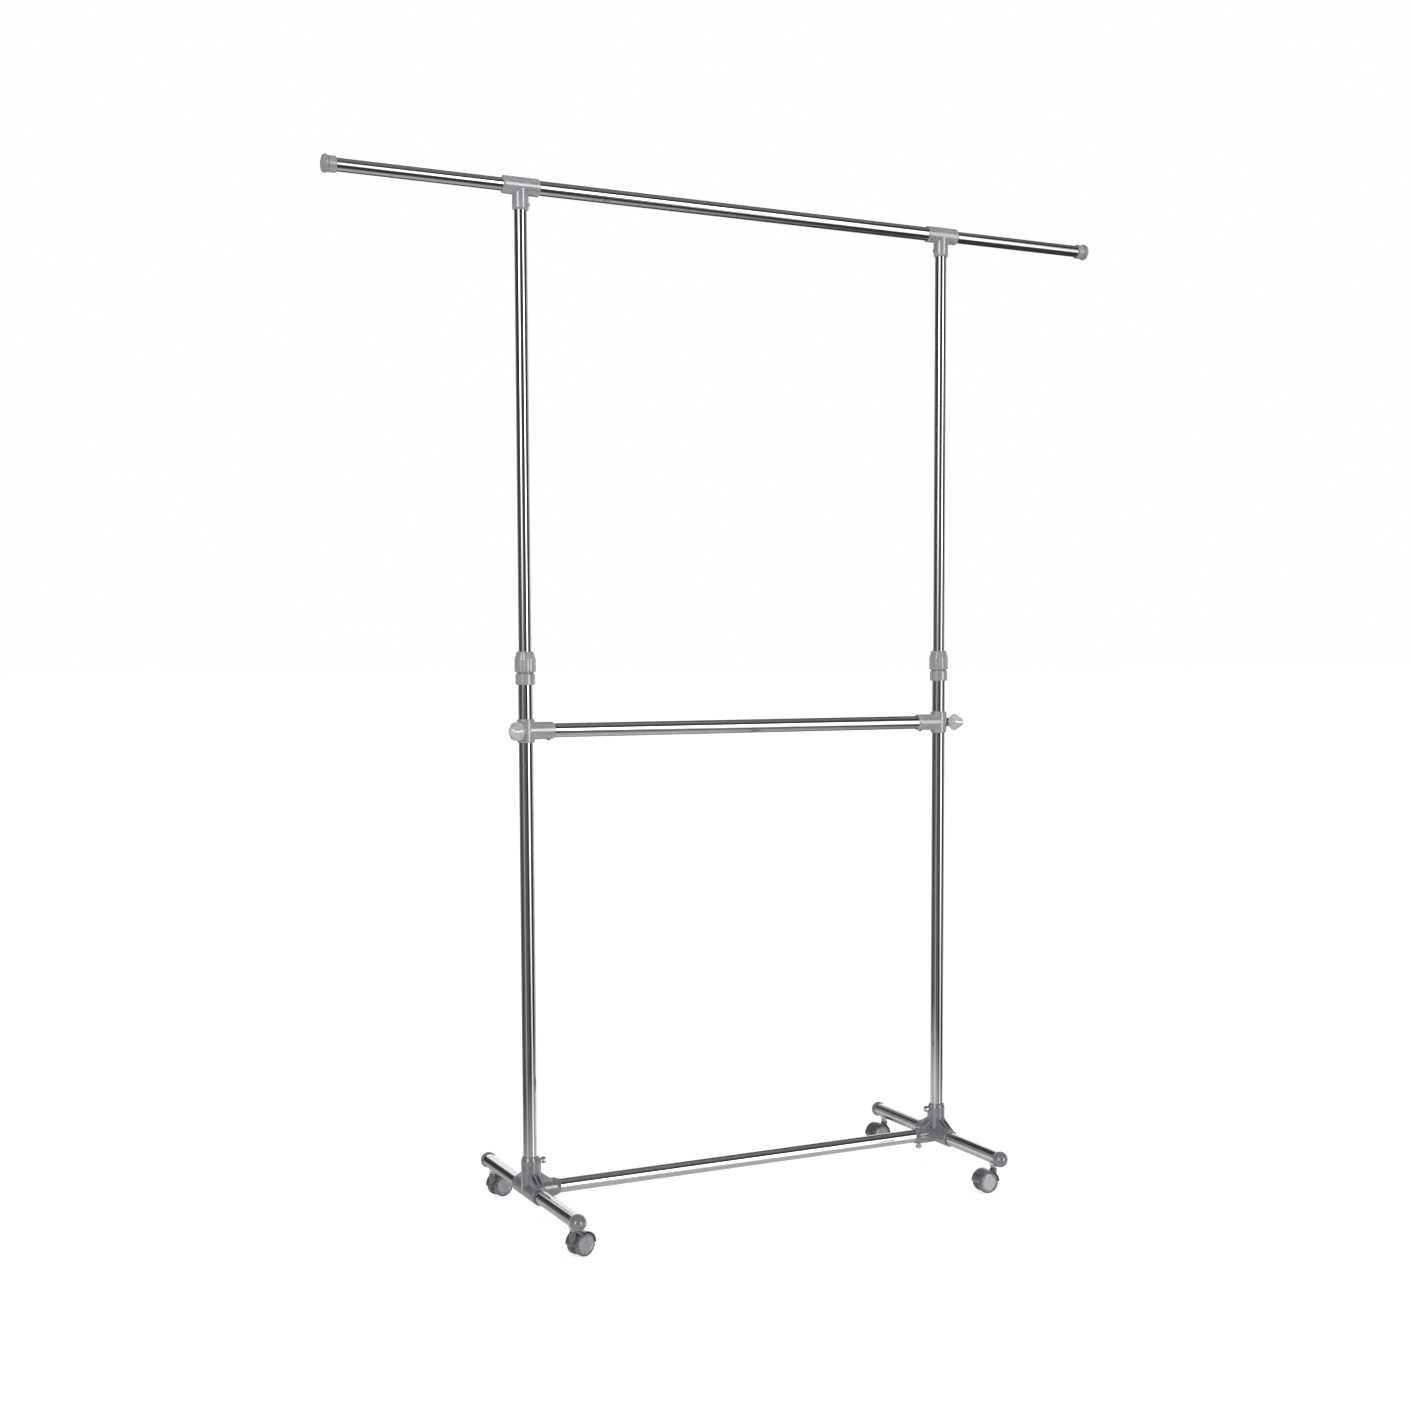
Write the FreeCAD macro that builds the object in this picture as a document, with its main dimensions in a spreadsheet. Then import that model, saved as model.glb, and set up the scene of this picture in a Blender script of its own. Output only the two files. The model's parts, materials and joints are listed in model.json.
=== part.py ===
"""Rolling clothes rack: two uprights on caster feet, a telescopic hanging rail and a sliding lower rail.

Frame: +X along the rails, +Y from front to back, +Z up, with the origin on the floor midway between
the uprights. The rack is drawn at full height with both rail extensions pulled out. Every size is in
millimetres in the sheet "Sizes"; positions are worked out from those cells by expressions.
"""
import FreeCAD, Part
import math
import os
import re

import Sketcher

LEFT = -1
RIGHT = 1
SIDES = {"left": LEFT, "right": RIGHT}
UP = FreeCAD.Vector(0, 0, 1)
MIN_CUT = 1e-3
ON_AXIS = 1e-9
NEAR = 0.01

DIMENSIONS = {
    # The whole rack
    "rack_length": (1500, "over the end caps, extensions out"),
    "rack_height": (1800, "floor to the top of the tees, at full height"),
    "foot_length": (480, "over the ball caps"),
    "upright_spacing": (832, "between upright axes"),
    "foot_axis_height": (64, "floor to the axis of feet and bottom rail"),
    "mid_rail_height": (867, "floor to the axis of the lower hanging rail"),
    "lock_height": (965, "floor to the top of the lower uprights"),
    # Tubes and gaps
    "big_tube_radius": (12.5, "lower uprights, rails and feet"),
    "small_tube_radius": (11, "upper uprights and extensions"),
    "tube_wall": (1, "thickness of the steel"),
    "fit_gap": (0.05, "radial gap of a fixed fit"),
    "slide_gap": (0.3, "radial gap of a sliding fit"),
    "seat_gap": (0.1, "gap between pieces that sit on each other"),
    "end_gap": (1, "tube's end to the bottom of its socket"),
    "over_cut": (1, "how far a cut runs past the surface"),
    "upright_overlap": (150, "upper upright inside the lower one"),
    "rail_overlap": (98, "extension inside the top rail"),
    # Top tees
    "tee_radius": (15, "sleeve round the top rail"),
    "tee_half_length": (32, "along the rail, each way"),
    "tee_leg_radius": (14, "leg round the upright"),
    "tee_leg_length": (40, "rail axis to the leg's mouth"),
    "tee_edge": (1.4, "chamfer of the mouths"),
    "tee_leg_taper": (2.8, "length of the chamfer at the leg's mouth"),
    "tee_screw_drop": (29, "rail axis to the screw"),
    "tee_web": (14, "rail axis to the blind end of the leg bore"),
    "bush_length": (5, "guide bush in the tee's outer mouth"),
    # End caps of the extensions
    "cap_length": (22.5, "whole cap"),
    "cap_disc_radius": (15, "domed end disc"),
    "cap_disc_length": (7.5, "domed end disc"),
    "cap_groove_radius": (12.9, "groove behind the disc"),
    "cap_groove_length": (2.4, "groove behind the disc"),
    "cap_collar_radius": (13.5, "collar round the tube"),
    "cap_bore_depth": (17, "tube inside the cap"),
    "cap_dome": (3.2, "round of the disc's rim"),
    "cap_back_round": (1, "round behind the disc"),
    "cap_edge": (0.8, "chamfer of the collar"),
    # Twist locks
    "lock_ring_radius": (17, "fixed lower ring"),
    "lock_ring_length": (19, "fixed lower ring"),
    "lock_ring_waist": (15.6, "ring's narrower ends"),
    "lock_ring_edge": (1.8, "height of the ring's chamfers"),
    "lock_thread_radius": (14.4, "split thread inside the nut"),
    "lock_thread_length": (26, "split thread inside the nut"),
    "lock_slit_width": (1.6, "slits of the thread"),
    "lock_slit_start": (5, "solid thread below the slits"),
    "lock_dark_gap": (2, "between ring and nut"),
    "lock_neck_radius": (16, "what shows in that gap"),
    "nut_radius": (18.6, "widest part"),
    "nut_length": (36, "whole nut"),
    "nut_top_radius": (13.8, "upper rim"),
    "nut_top_edge": (1, "chamfer of the upper rim"),
    "nut_edge": (1.2, "chamfer of the lower rim"),
    "nut_taper": (13, "length of the tapered top"),
    "nut_wall_gap": (0.5, "thread to nut"),
    "nut_flute_radius": (15, "round of each flat flute"),
    "nut_flute_depth": (0.9, "how deep a flute cuts"),
    # Clamps of the mid rail
    "clamp_radius": (15.6, "collar round the upright"),
    "clamp_length": (41, "height of the collar"),
    "clamp_edge": (2, "chamfer of the collar and socket"),
    "clamp_socket_radius": (15.2, "socket round the mid rail"),
    "clamp_socket_reach": (49.5, "upright axis to the socket's mouth"),
    "clamp_web": (15, "upright axis to the blind end of the socket bore"),
    "clamp_boss_radius": (8.5, "seat of the knob"),
    "clamp_boss_reach": (16.8, "upright axis to the seat"),
    "clamp_screw_reach": (41, "upright axis to the socket's screw"),
    "insert_radius": (5.5, "threaded insert, across corners"),
    "insert_length": (2.6, "threaded insert"),
    "insert_reach": (13.8, "upright axis to the insert"),
    # Clamp knobs, measured along their own axis from the upright axis
    "knob_angle": (50, "from straight forward, outwards, in degrees"),
    "knob_base_reach": (20.4, "to the knob's base"),
    "knob_wide_reach": (30, "to its widest ring"),
    "knob_shoulder_reach": (35, "to the start of the nose"),
    "knob_end_reach": (48, "to its end"),
    "knob_rim_width": (2, "rise to its widest ring"),
    "knob_rim_drop": (0.6, "radius lost over that rise"),
    "knob_nose_edge": (3, "chamfer of the nose"),
    "knob_base_radius": (9.5, "at the base"),
    "knob_wide_radius": (17, "across the lobes"),
    "knob_shoulder_radius": (15, "where the nose starts"),
    "knob_nose_radius": (7, "at the end"),
    "knob_flute_radius": (9, "round of the hollows between lobes"),
    "knob_flute_depth": (2.4, "how deep a hollow cuts"),
    "stud_radius": (3, "threaded stud"),
    "stud_reach": (13.1, "upright axis to the stud's tip"),
    "washer_radius": (8.2, "dark washer under the knob"),
    "washer_length": (3.2, "dark washer under the knob"),
    # Base connectors, measured from the crossing of the foot and upright axes
    "base_socket_radius": (16.2, "socket of the upright"),
    "base_socket_top": (60, "height of its mouth"),
    "base_taper_length": (7.5, "tapered end of the two sockets"),
    "base_taper_step": (2.4, "radius lost over the taper"),
    "base_sleeve_radius": (16, "sleeve round the foot tube"),
    "base_sleeve_half": (54, "half its length"),
    "base_rail_reach": (52, "to the mouth of the rail socket"),
    "base_web": (14, "to the blind ends of the bores"),
    "gusset_width": (18, "thickness of the gussets"),
    "gusset_top": (33, "height where they leave the socket"),
    "gusset_toe": (49, "how far out the foot's gussets reach"),
    "rail_gusset_toe": (38, "how far out the rail's gusset reaches"),
    "gusset_toe_height": (14.5, "height of the toe"),
    "gusset_rib_gap": (3.6, "width of the grooves in the slope"),
    "gusset_rib_spacing": (8.2, "between the two grooves"),
    "gusset_rib_depth": (12, "depth of the grooves beside the socket"),
    "screw_rib_reach": (18.2, "upright axis to the face under the thumb screw"),
    "screw_rib_width": (10, "width of that face"),
    "base_edge": (1, "chamfer of the sleeve"),
    "corner_web_reach": (30, "flat web between sleeve and rail socket"),
    # Thumb screws and small screws
    "thumb_head_radius": (6.2, "head"),
    "thumb_head_length": (5.4, "head"),
    "thumb_neck_radius": (3.4, "neck"),
    "thumb_neck_length": (3.4, "neck"),
    "thumb_head_round": (1.6, "round of the head"),
    "thumb_shank_radius": (2.5, "shank"),
    "thumb_shank_length": (7, "shank"),
    "thumb_height": (50, "foot axis to the upright's screw"),
    "thumb_reach": (40, "upright axis to the rail's screw"),
    "screw_head_radius": (3.6, "small screw's head"),
    "screw_head_length": (2.2, "small screw's head"),
    "screw_head_round": (0.9, "round of the small screw's head"),
    "screw_shank_radius": (1.6, "small screw's shank"),
    "screw_shank_length": (5, "small screw's shank"),
    # Plugs of the small tubes
    "plug_flange_length": (6, "flange outside the tube"),
    "plug_flange_lip": (0.2, "how far the flange stands past the tube"),
    "plug_edge": (1, "chamfer of the flange"),
    "plug_spigot_length": (12, "spigot inside the tube"),
    # Foot caps
    "ball_radius": (14.6, "ball caps of the feet"),
    "ball_plug_length": (16, "spigot inside the tube"),
    # Casters, with the floor at 0 and the swivel axis at 0
    "stem_inset": (37, "end of the foot to the swivel axis"),
    "stem_radius": (4, "steel stem"),
    "stem_top": (71, "top end"),
    "stem_bottom": (33, "bottom end, inside the hood"),
    "stem_collar_radius": (6, "steel collar"),
    "stem_collar_bottom": (45.2, "its underside"),
    "stem_collar_length": (3.4, "its thickness"),
    "stem_gap": (0.08, "radial running gap"),
    "socket_wall": (1.8, "sleeve round the stem"),
    "socket_top": (72, "top of the sleeve"),
    "socket_flange_radius": (7.6, "flange under the foot tube"),
    "socket_flange_length": (1.8, "flange under the foot tube"),
    "caster_trail": (17, "swivel axis to wheel axle"),
    "wheel_radius": (20, "over the tyre"),
    "tyre_depth": (2.6, "thickness of the tyre"),
    "wheel_width": (10.6, "one wheel"),
    "wheel_inner_face": (4.2, "middle plane to the wheel"),
    "wheel_step": (0.6, "rim behind the outer face"),
    "wheel_dish": (1.8, "depth of the ring round the hub disc"),
    "wheel_dish_width": (1, "width of that ring"),
    "wheel_disc_edge": (0.5, "chamfer of the hub disc"),
    "tyre_inset": (0.2, "tyre behind the inner face"),
    "tyre_edge": (1, "radius lost at the tyre's shoulders"),
    "tyre_shoulder": (1.4, "width of the tyre's shoulders"),
    "wheel_hub_radius": (15.2, "raised disc of the outer face"),
    "axle_radius": (2, "wheel axle"),
    "axle_half": (13.4, "half its length"),
    "hood_radius": (22.2, "outside of the fender"),
    "hood_wall_gap": (0.7, "fender to tyre"),
    "hood_half_width": (14.2, "half the fender"),
    "hood_web_half": (3.6, "half the middle web"),
    "hood_web_radius": (11, "web round the axle"),
    "hood_boss_radius": (6.6, "boss round the stem"),
    "hood_boss_top": (43.4, "its top"),
    "hood_boss_edge": (1, "chamfer of the boss"),
    "hood_boss_bottom": (26, "its foot"),
}

NUT_FLUTES = 9
KNOB_LOBES = 6
CASTER_TURN = {
    "front_left": 20,
    "front_right": 178,
    "rear_left": 20,
    "rear_right": 190,
}
CASTER_ENDS = {"front": -1, "rear": 1}
STEM_PLACE = "foot_length / 2 - stem_inset"
SOCKET_RADIUS = "(stem_radius + stem_gap + socket_wall)"
HEXAGON = 6

doc = FreeCAD.newDocument("ClothesRack")
sheet = doc.addObject("Spreadsheet::Sheet", "Sizes")
exports = []


def fill_sheet():
    """Write each driving dimension as a plain number with an alias and a note."""
    for row, (alias, (size, note)) in enumerate(DIMENSIONS.items(), start=1):
        sheet.set(f"A{row}", alias)
        sheet.set(f"B{row}", str(size))
        sheet.setAlias(f"B{row}", alias)
        sheet.set(f"C{row}", note)
    doc.recompute()


def bind(formula):
    """Turn a formula of alias names into an expression on the sheet."""
    return re.sub(r"\b[a-z][a-z_]*\b(?!\()", r"Sizes.\g<0>", str(formula))


def size_of(formula):
    """The present value of a formula of alias names."""
    return float(sheet.evalExpression(bind(formula)))


def new_body(label, export=True):
    body = doc.addObject("PartDesign::Body", label)
    body.Label = label
    if export:
        exports.append(body)
    return body


def place(body, x="0", y="0", z="0", rotation=None):
    """Put a body at a point given by formulas, turned by a fixed rotation."""
    body.Placement = FreeCAD.Placement(FreeCAD.Vector(), rotation or FreeCAD.Rotation())
    for axis, formula in (("x", x), ("y", y), ("z", z)):
        body.setExpression(f"Placement.Base.{axis}", bind(formula))
    return body


def turned_about_z(degrees):
    return FreeCAD.Rotation(UP, degrees)


def new_sketch(body, plane, name, shift="0", turn_degrees=0):
    """A sketch on a plane of the body, moved along its normal and turned about its upright axis."""
    sketch = body.newObject("Sketcher::SketchObject", f"{body.Name}_{name}")
    origin_plane = next(f for f in body.Origin.OriginFeatures if f.Role == plane)
    sketch.AttachmentSupport = [(origin_plane, "")]
    sketch.MapMode = "FlatFace"
    turned = FreeCAD.Rotation(FreeCAD.Vector(0, 1, 0), turn_degrees)
    sketch.AttachmentOffset = FreeCAD.Placement(FreeCAD.Vector(), turned)
    if shift != "0":
        sketch.setExpression("AttachmentOffset.Base.z", bind(shift))
    return sketch


def pin_point(sketch, geometry, end, axis, formula):
    """Fix one coordinate of a point to a formula."""
    value = size_of(formula)
    if abs(value) < ON_AXIS:
        axis_line = -2 if axis == "X" else -1
        sketch.addConstraint(Sketcher.Constraint("PointOnObject", geometry, end, axis_line))
        return
    index = sketch.addConstraint(Sketcher.Constraint(f"Distance{axis}", -1, 1, geometry, end, value))
    sketch.setExpression(f"Constraints[{index}]", bind(formula))


def outline(body, plane, name, points, shift="0", turn_degrees=0):
    """A closed outline of straight lines whose corners are pairs of formulas."""
    sketch = new_sketch(body, plane, name, shift, turn_degrees)
    corners = [FreeCAD.Vector(size_of(u), size_of(v), 0) for u, v in points]
    count = len(corners)
    for i in range(count):
        sketch.addGeometry(Part.LineSegment(corners[i], corners[(i + 1) % count]), False)
    for i in range(count):
        sketch.addConstraint(Sketcher.Constraint("Coincident", i, 2, (i + 1) % count, 1))
    for i, (u, v) in enumerate(points):
        pin_point(sketch, i, 1, "X", u)
        pin_point(sketch, i, 1, "Y", v)
    return sketch


def circle(body, plane, name, radius, centre=("0", "0")):
    """A sketch of one circle."""
    sketch = new_sketch(body, plane, name)
    add_circle(sketch, radius, centre)
    return sketch


def add_circle(sketch, radius, centre):
    """A circle of a bound radius about a bound centre."""
    middle = FreeCAD.Vector(size_of(centre[0]), size_of(centre[1]), 0)
    sketch.addGeometry(Part.Circle(middle, UP, size_of(radius)), False)
    index = sketch.addConstraint(Sketcher.Constraint("Radius", 0, size_of(radius)))
    sketch.setExpression(f"Constraints[{index}]", bind(radius))
    pin_point(sketch, 0, 3, "X", centre[0])
    pin_point(sketch, 0, 3, "Y", centre[1])


def turn(body, name, plane, axis, points, cut=False, turn_degrees=0):
    """Revolve an outline about the sketch's H or V axis, to add or to cut."""
    before = body.Shape.Volume if cut else 0
    sketch = outline(body, plane, f"{name}_profile", points, "0", turn_degrees)
    kind = "PartDesign::Groove" if cut else "PartDesign::Revolution"
    feature = body.newObject(kind, f"{body.Name}_{name}")
    feature.Profile = sketch
    feature.ReferenceAxis = (sketch, [f"{axis}_Axis"])
    feature.Angle = 360
    doc.recompute()
    if cut and body.Shape.Volume > before - MIN_CUT:
        raise RuntimeError(f"{feature.Name} removed nothing")
    return feature


def block(body, name, sketch, length, symmetric=True, reverse=False):
    """Pad a sketch by a bound length."""
    feature = body.newObject("PartDesign::Pad", f"{body.Name}_{name}")
    feature.Profile = sketch
    feature.setExpression("Length", bind(length))
    feature.SideType = "Symmetric" if symmetric else "One side"
    feature.Reversed = reverse
    doc.recompute()
    return feature


def cut_out(body, name, sketch, length, symmetric=True, reverse=False):
    """Pocket a sketch by a bound length and make sure that it removed material."""
    before = body.Shape.Volume
    feature = body.newObject("PartDesign::Pocket", f"{body.Name}_{name}")
    feature.Profile = sketch
    feature.setExpression("Length", bind(length))
    feature.SideType = "Symmetric" if symmetric else "One side"
    feature.Reversed = reverse
    doc.recompute()
    if body.Shape.Volume > before - MIN_CUT:
        raise RuntimeError(f"{feature.Name} removed nothing")
    return feature


def repeat_round(body, name, feature, axis, count):
    """Repeat a feature evenly about one of the body's own axes."""
    pattern = body.newObject("PartDesign::PolarPattern", f"{body.Name}_{name}")
    pattern.Originals = [feature]
    origin_axis = next(f for f in body.Origin.OriginFeatures if f.Role == axis)
    pattern.Axis = (origin_axis, [""])
    pattern.Angle = 360
    pattern.Occurrences = count
    body.Tip = pattern
    doc.recompute()
    return pattern


def round_rims(body, name, radius, chosen):
    """Fillet the circular edges whose centre and radius are chosen."""
    base = body.Tip
    edges = []
    for number, edge in enumerate(body.Shape.Edges, start=1):
        if hasattr(edge.Curve, "Radius") and chosen(edge.Curve.Center, edge.Curve.Radius):
            edges.append(f"Edge{number}")
    feature = body.newObject("PartDesign::Fillet", f"{body.Name}_{name}")
    feature.Base = (base, edges)
    feature.setExpression("Radius", bind(radius))
    body.Tip = feature
    doc.recompute()
    return feature


def group(label, members):
    """Several separate pieces of one kind, kept as one node."""
    compound = doc.addObject("Part::Compound", label)
    compound.Label = label
    compound.Links = members
    doc.recompute()
    exports.append(compound)
    return compound


def tube(label, plane, radius, length):
    """A plain steel tube, centred on its own middle."""
    body = new_body(label)
    block(body, "wall", circle(body, plane, "outside", radius), length)
    inside = circle(body, plane, "inside", f"{radius} - tube_wall")
    cut_out(body, "bore", inside, f"{length} + 2 * over_cut")
    return body


def hole(body, name, plane, radius, centre, depth, reverse=False):
    """A round hole through one side of a body."""
    sketch = circle(body, plane, f"{name}_ring", radius, centre)
    return cut_out(body, name, sketch, depth, symmetric=False, reverse=reverse)


def faces_inwards(side):
    """Turn a left-hand piece so that its +X side faces the middle of the rack."""
    return turned_about_z(0 if side == LEFT else 180)


# ---- Base: feet, connectors, bottom rail and lower uprights ----

def base_connector(label, side):
    """Moulded connector: sleeve, upright socket, rail socket and grooved gussets."""
    body = new_body(label)
    rim = "base_sleeve_radius - base_edge"
    turn(body, "sleeve", "YZ_Plane", "H", [
        ("-base_sleeve_half", "0"), ("-base_sleeve_half", rim),
        ("base_edge - base_sleeve_half", "base_sleeve_radius"),
        ("base_sleeve_half - base_edge", "base_sleeve_radius"),
        ("base_sleeve_half", rim), ("base_sleeve_half", "0")])
    taper = "base_socket_top - base_taper_length"
    turn(body, "socket", "XZ_Plane", "V", [
        ("0", "0"), ("base_socket_radius", "0"), ("base_socket_radius", taper),
        ("base_socket_radius - base_taper_step", "base_socket_top"), ("0", "base_socket_top")])
    turn(body, "rail_socket", "XZ_Plane", "H", [
        ("0", "0"), ("0", "base_sleeve_radius"),
        ("base_rail_reach - base_taper_length", "base_sleeve_radius"),
        ("base_rail_reach", "base_sleeve_radius - base_taper_step"), ("base_rail_reach", "0")])
    block(body, "screw_rib", outline(body, "XZ_Plane", "screw_rib_side", [
        ("0", "0"), ("screw_rib_reach", "0"), ("screw_rib_reach", taper),
        ("base_socket_radius - base_taper_step", "base_socket_top - base_edge"),
        ("0", "base_socket_top - base_edge")]), "screw_rib_width")
    block(body, "foot_gussets", outline(body, "YZ_Plane", "foot_slopes", [
        ("-gusset_toe", "0"), ("-gusset_toe", "gusset_toe_height"), ("-base_web", "gusset_top"),
        ("base_web", "gusset_top"), ("gusset_toe", "gusset_toe_height"), ("gusset_toe", "0")]),
        "gusset_width")
    block(body, "rail_gusset", outline(body, "XZ_Plane", "rail_slope", [
        ("0", "0"), ("0", "gusset_top"), ("base_web", "gusset_top"),
        ("rail_gusset_toe", "gusset_toe_height"), ("rail_gusset_toe", "0")]), "gusset_width")
    block(body, "corner_web", outline(body, "XY_Plane", "corner", [
        ("0", "-corner_web_reach"), ("corner_web_reach", "0"), ("0", "corner_web_reach")]),
        "gusset_toe_height")
    for number, shift in enumerate(("-gusset_rib_spacing / 2", "gusset_rib_spacing / 2"), start=1):
        slope_groove(body, f"front_groove_{number}", "YZ_Plane", "-1", "gusset_toe", shift)
        slope_groove(body, f"rear_groove_{number}", "YZ_Plane", "1", "gusset_toe", shift)
        slope_groove(body, f"rail_groove_{number}", "XZ_Plane", "1", "rail_gusset_toe", shift)
    bore = "big_tube_radius + fit_gap"
    cut_out(body, "foot_bore", circle(body, "XZ_Plane", "foot_ring", bore),
            "2 * (base_sleeve_half + over_cut)")
    turn(body, "upright_bore", "XZ_Plane", "V", [
        ("0", "base_web"), (bore, "base_web"), (bore, "base_socket_top + over_cut"),
        ("0", "base_socket_top + over_cut")], cut=True)
    turn(body, "rail_bore", "XZ_Plane", "H", [
        ("base_web", "0"), ("base_web", bore), ("base_rail_reach + over_cut", bore),
        ("base_rail_reach + over_cut", "0")], cut=True)
    thread = "thumb_shank_radius + fit_gap"
    hole(body, "upright_screw_hole", "YZ_Plane", thread, ("0", "thumb_height"),
         "screw_rib_reach + over_cut", reverse=True)
    hole(body, "rail_screw_hole", "XY_Plane", thread, ("thumb_reach", "0"),
         "base_sleeve_radius + over_cut")
    return place(body, f"{side} * upright_spacing / 2", "0", "foot_axis_height", faces_inwards(side))


def slope_groove(body, name, plane, sign, toe, shift):
    """One groove down the slope of a gusset, which runs out on the sleeve at the toe."""
    floor = "base_sleeve_radius - base_edge"
    start = f"{sign} * (base_socket_radius + base_edge)"
    sketch = outline(body, plane, name, [
        (f"{sign} * ({toe} + over_cut)", floor), (f"{sign} * ({toe} + over_cut)", "gusset_top"),
        (start, "gusset_top + over_cut"), (start, "gusset_top - gusset_rib_depth")], shift)
    return cut_out(body, f"{name}_cut", sketch, "gusset_rib_gap")


def foot_tube(label, side):
    """Foot tube with a hole below for each caster's socket."""
    body = tube(label, "XZ_Plane", "big_tube_radius", "foot_length - 2 * ball_radius")
    for end, sign in CASTER_ENDS.items():
        hole(body, f"{end}_socket_hole", "XY_Plane", f"{SOCKET_RADIUS} + fit_gap",
             ("0", f"{sign} * ({STEM_PLACE})"), "big_tube_radius + over_cut")
    return place(body, f"{side} * upright_spacing / 2", "0", "foot_axis_height")


def bottom_rail():
    """Rail between the connectors, with a hole for each socket's thumb screw."""
    body = tube("bottom_rail", "YZ_Plane", "big_tube_radius",
                "upright_spacing - 2 * (base_web + end_gap)")
    for name, side in SIDES.items():
        hole(body, f"{name}_screw_hole", "XY_Plane", "thumb_shank_radius + fit_gap",
             (f"{side} * (upright_spacing / 2 - thumb_reach)", "0"), "big_tube_radius + over_cut")
    return place(body, "0", "0", "foot_axis_height")


def lower_upright(label, side):
    """Lower tube of an upright, with a hole for the connector's thumb screw."""
    length = "(lock_height - foot_axis_height - base_web - end_gap)"
    body = tube(label, "XY_Plane", "big_tube_radius", length)
    hole(body, "screw_hole", "YZ_Plane", "thumb_shank_radius + fit_gap",
         ("0", f"thumb_height - base_web - end_gap - {length} / 2"), "big_tube_radius + over_cut",
         reverse=True)
    return place(body, f"{side} * upright_spacing / 2", "0", f"lock_height - {length} / 2",
                 faces_inwards(side))


def thumb_screw(name):
    """Round-headed thumb screw; its seat is at the origin and its head points up."""
    body = new_body(name, export=False)
    head_top = "thumb_neck_length + thumb_head_length"
    turn(body, "screw", "XZ_Plane", "V", [
        ("0", "-thumb_shank_length"), ("thumb_shank_radius", "-thumb_shank_length"),
        ("thumb_shank_radius", "0"),
        ("thumb_neck_radius", "0"), ("thumb_neck_radius", "thumb_neck_length"),
        ("thumb_head_radius", "thumb_neck_length"), ("thumb_head_radius", head_top), ("0", head_top)])
    top = size_of(head_top)
    round_rims(body, "head_round", "thumb_head_round", lambda centre, radius: centre.z > top - NEAR)
    return body


def upright_screws():
    """The thumb screw of each upright, on the side that faces the middle."""
    members = []
    for name, side in SIDES.items():
        body = thumb_screw(f"{name}_upright_screw")
        pointing_in = FreeCAD.Rotation(FreeCAD.Vector(0, 1, 0), -90 * side)
        members.append(place(body, f"{side} * (upright_spacing / 2 - screw_rib_reach - seat_gap)", "0",
                             "foot_axis_height + thumb_height", pointing_in))
    return group("upright_screws", members)


def rail_screws():
    """The thumb screw under each end of the bottom rail."""
    members = []
    for name, side in SIDES.items():
        body = thumb_screw(f"{name}_rail_screw")
        pointing_down = FreeCAD.Rotation(FreeCAD.Vector(1, 0, 0), 180)
        members.append(place(body, f"{side} * (upright_spacing / 2 - thumb_reach)", "0",
                             "foot_axis_height - base_sleeve_radius - seat_gap", pointing_down))
    return group("rail_screws", members)


def ball_cap(name, side, sign):
    """Ball over a foot's end: a sphere bored for the tube, with a spigot inside it."""
    ball = doc.addObject("Part::Sphere", f"{name}_ball")
    ball.setExpression("Radius", bind("ball_radius"))
    bore = doc.addObject("Part::Cylinder", f"{name}_bore")
    bore.setExpression("Radius", bind("big_tube_radius + fit_gap"))
    bore.setExpression("Height", bind("ball_radius + over_cut"))
    cup = doc.addObject("Part::Cut", f"{name}_cup")
    cup.Base = ball
    cup.Tool = bore
    spigot = doc.addObject("Part::Cylinder", f"{name}_spigot")
    spigot.setExpression("Radius", bind("big_tube_radius - tube_wall - fit_gap"))
    spigot.setExpression("Height", bind("ball_plug_length + end_gap"))
    spigot.setExpression("Placement.Base.z", bind("-end_gap"))
    cap = doc.addObject("Part::Fuse", name)
    cap.Base = cup
    cap.Tool = spigot
    doc.recompute()
    towards_middle = FreeCAD.Rotation(FreeCAD.Vector(1, 0, 0), 90 * sign)
    return place(cap, f"{side} * upright_spacing / 2", f"{sign} * (foot_length / 2 - ball_radius)",
                 "foot_axis_height", towards_middle)


def foot_caps(label, side):
    """The two ball caps of one foot."""
    return group(label, [ball_cap(f"{label}_{end}", side, sign) for end, sign in CASTER_ENDS.items()])


# ---- Twist locks ----

def lock_body(label, side):
    """Ring fixed on top of the lower upright, with the split thread that grips the upper one."""
    body = new_body(label)
    outer_bore = "big_tube_radius + fit_gap"
    inner_bore = "small_tube_radius + slide_gap"
    thread_top = "lock_dark_gap + lock_thread_length"
    turn(body, "turned", "XZ_Plane", "V", [
        (outer_bore, "-lock_ring_length"), ("lock_ring_waist", "-lock_ring_length"),
        ("lock_ring_radius", "lock_ring_edge - lock_ring_length"), ("lock_ring_radius", "-lock_ring_edge"),
        ("lock_neck_radius", "0"), ("lock_neck_radius", "lock_dark_gap"),
        ("lock_thread_radius", "lock_dark_gap"), ("lock_thread_radius", thread_top),
        (inner_bore, thread_top), (inner_bore, "seat_gap"), (outer_bore, "seat_gap")])
    slit_start = "lock_dark_gap + lock_slit_start"
    for plane in ("XZ_Plane", "YZ_Plane"):
        sketch = outline(body, plane, f"slit_{plane[:2]}", [
            ("-lock_slit_width / 2", slit_start), ("lock_slit_width / 2", slit_start),
            ("lock_slit_width / 2", f"{thread_top} + over_cut"),
            ("-lock_slit_width / 2", f"{thread_top} + over_cut")])
        cut_out(body, f"slit_{plane[:2]}_cut", sketch, "2 * lock_ring_radius")
    return place(body, f"{side} * upright_spacing / 2", "0", "lock_height")


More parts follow.
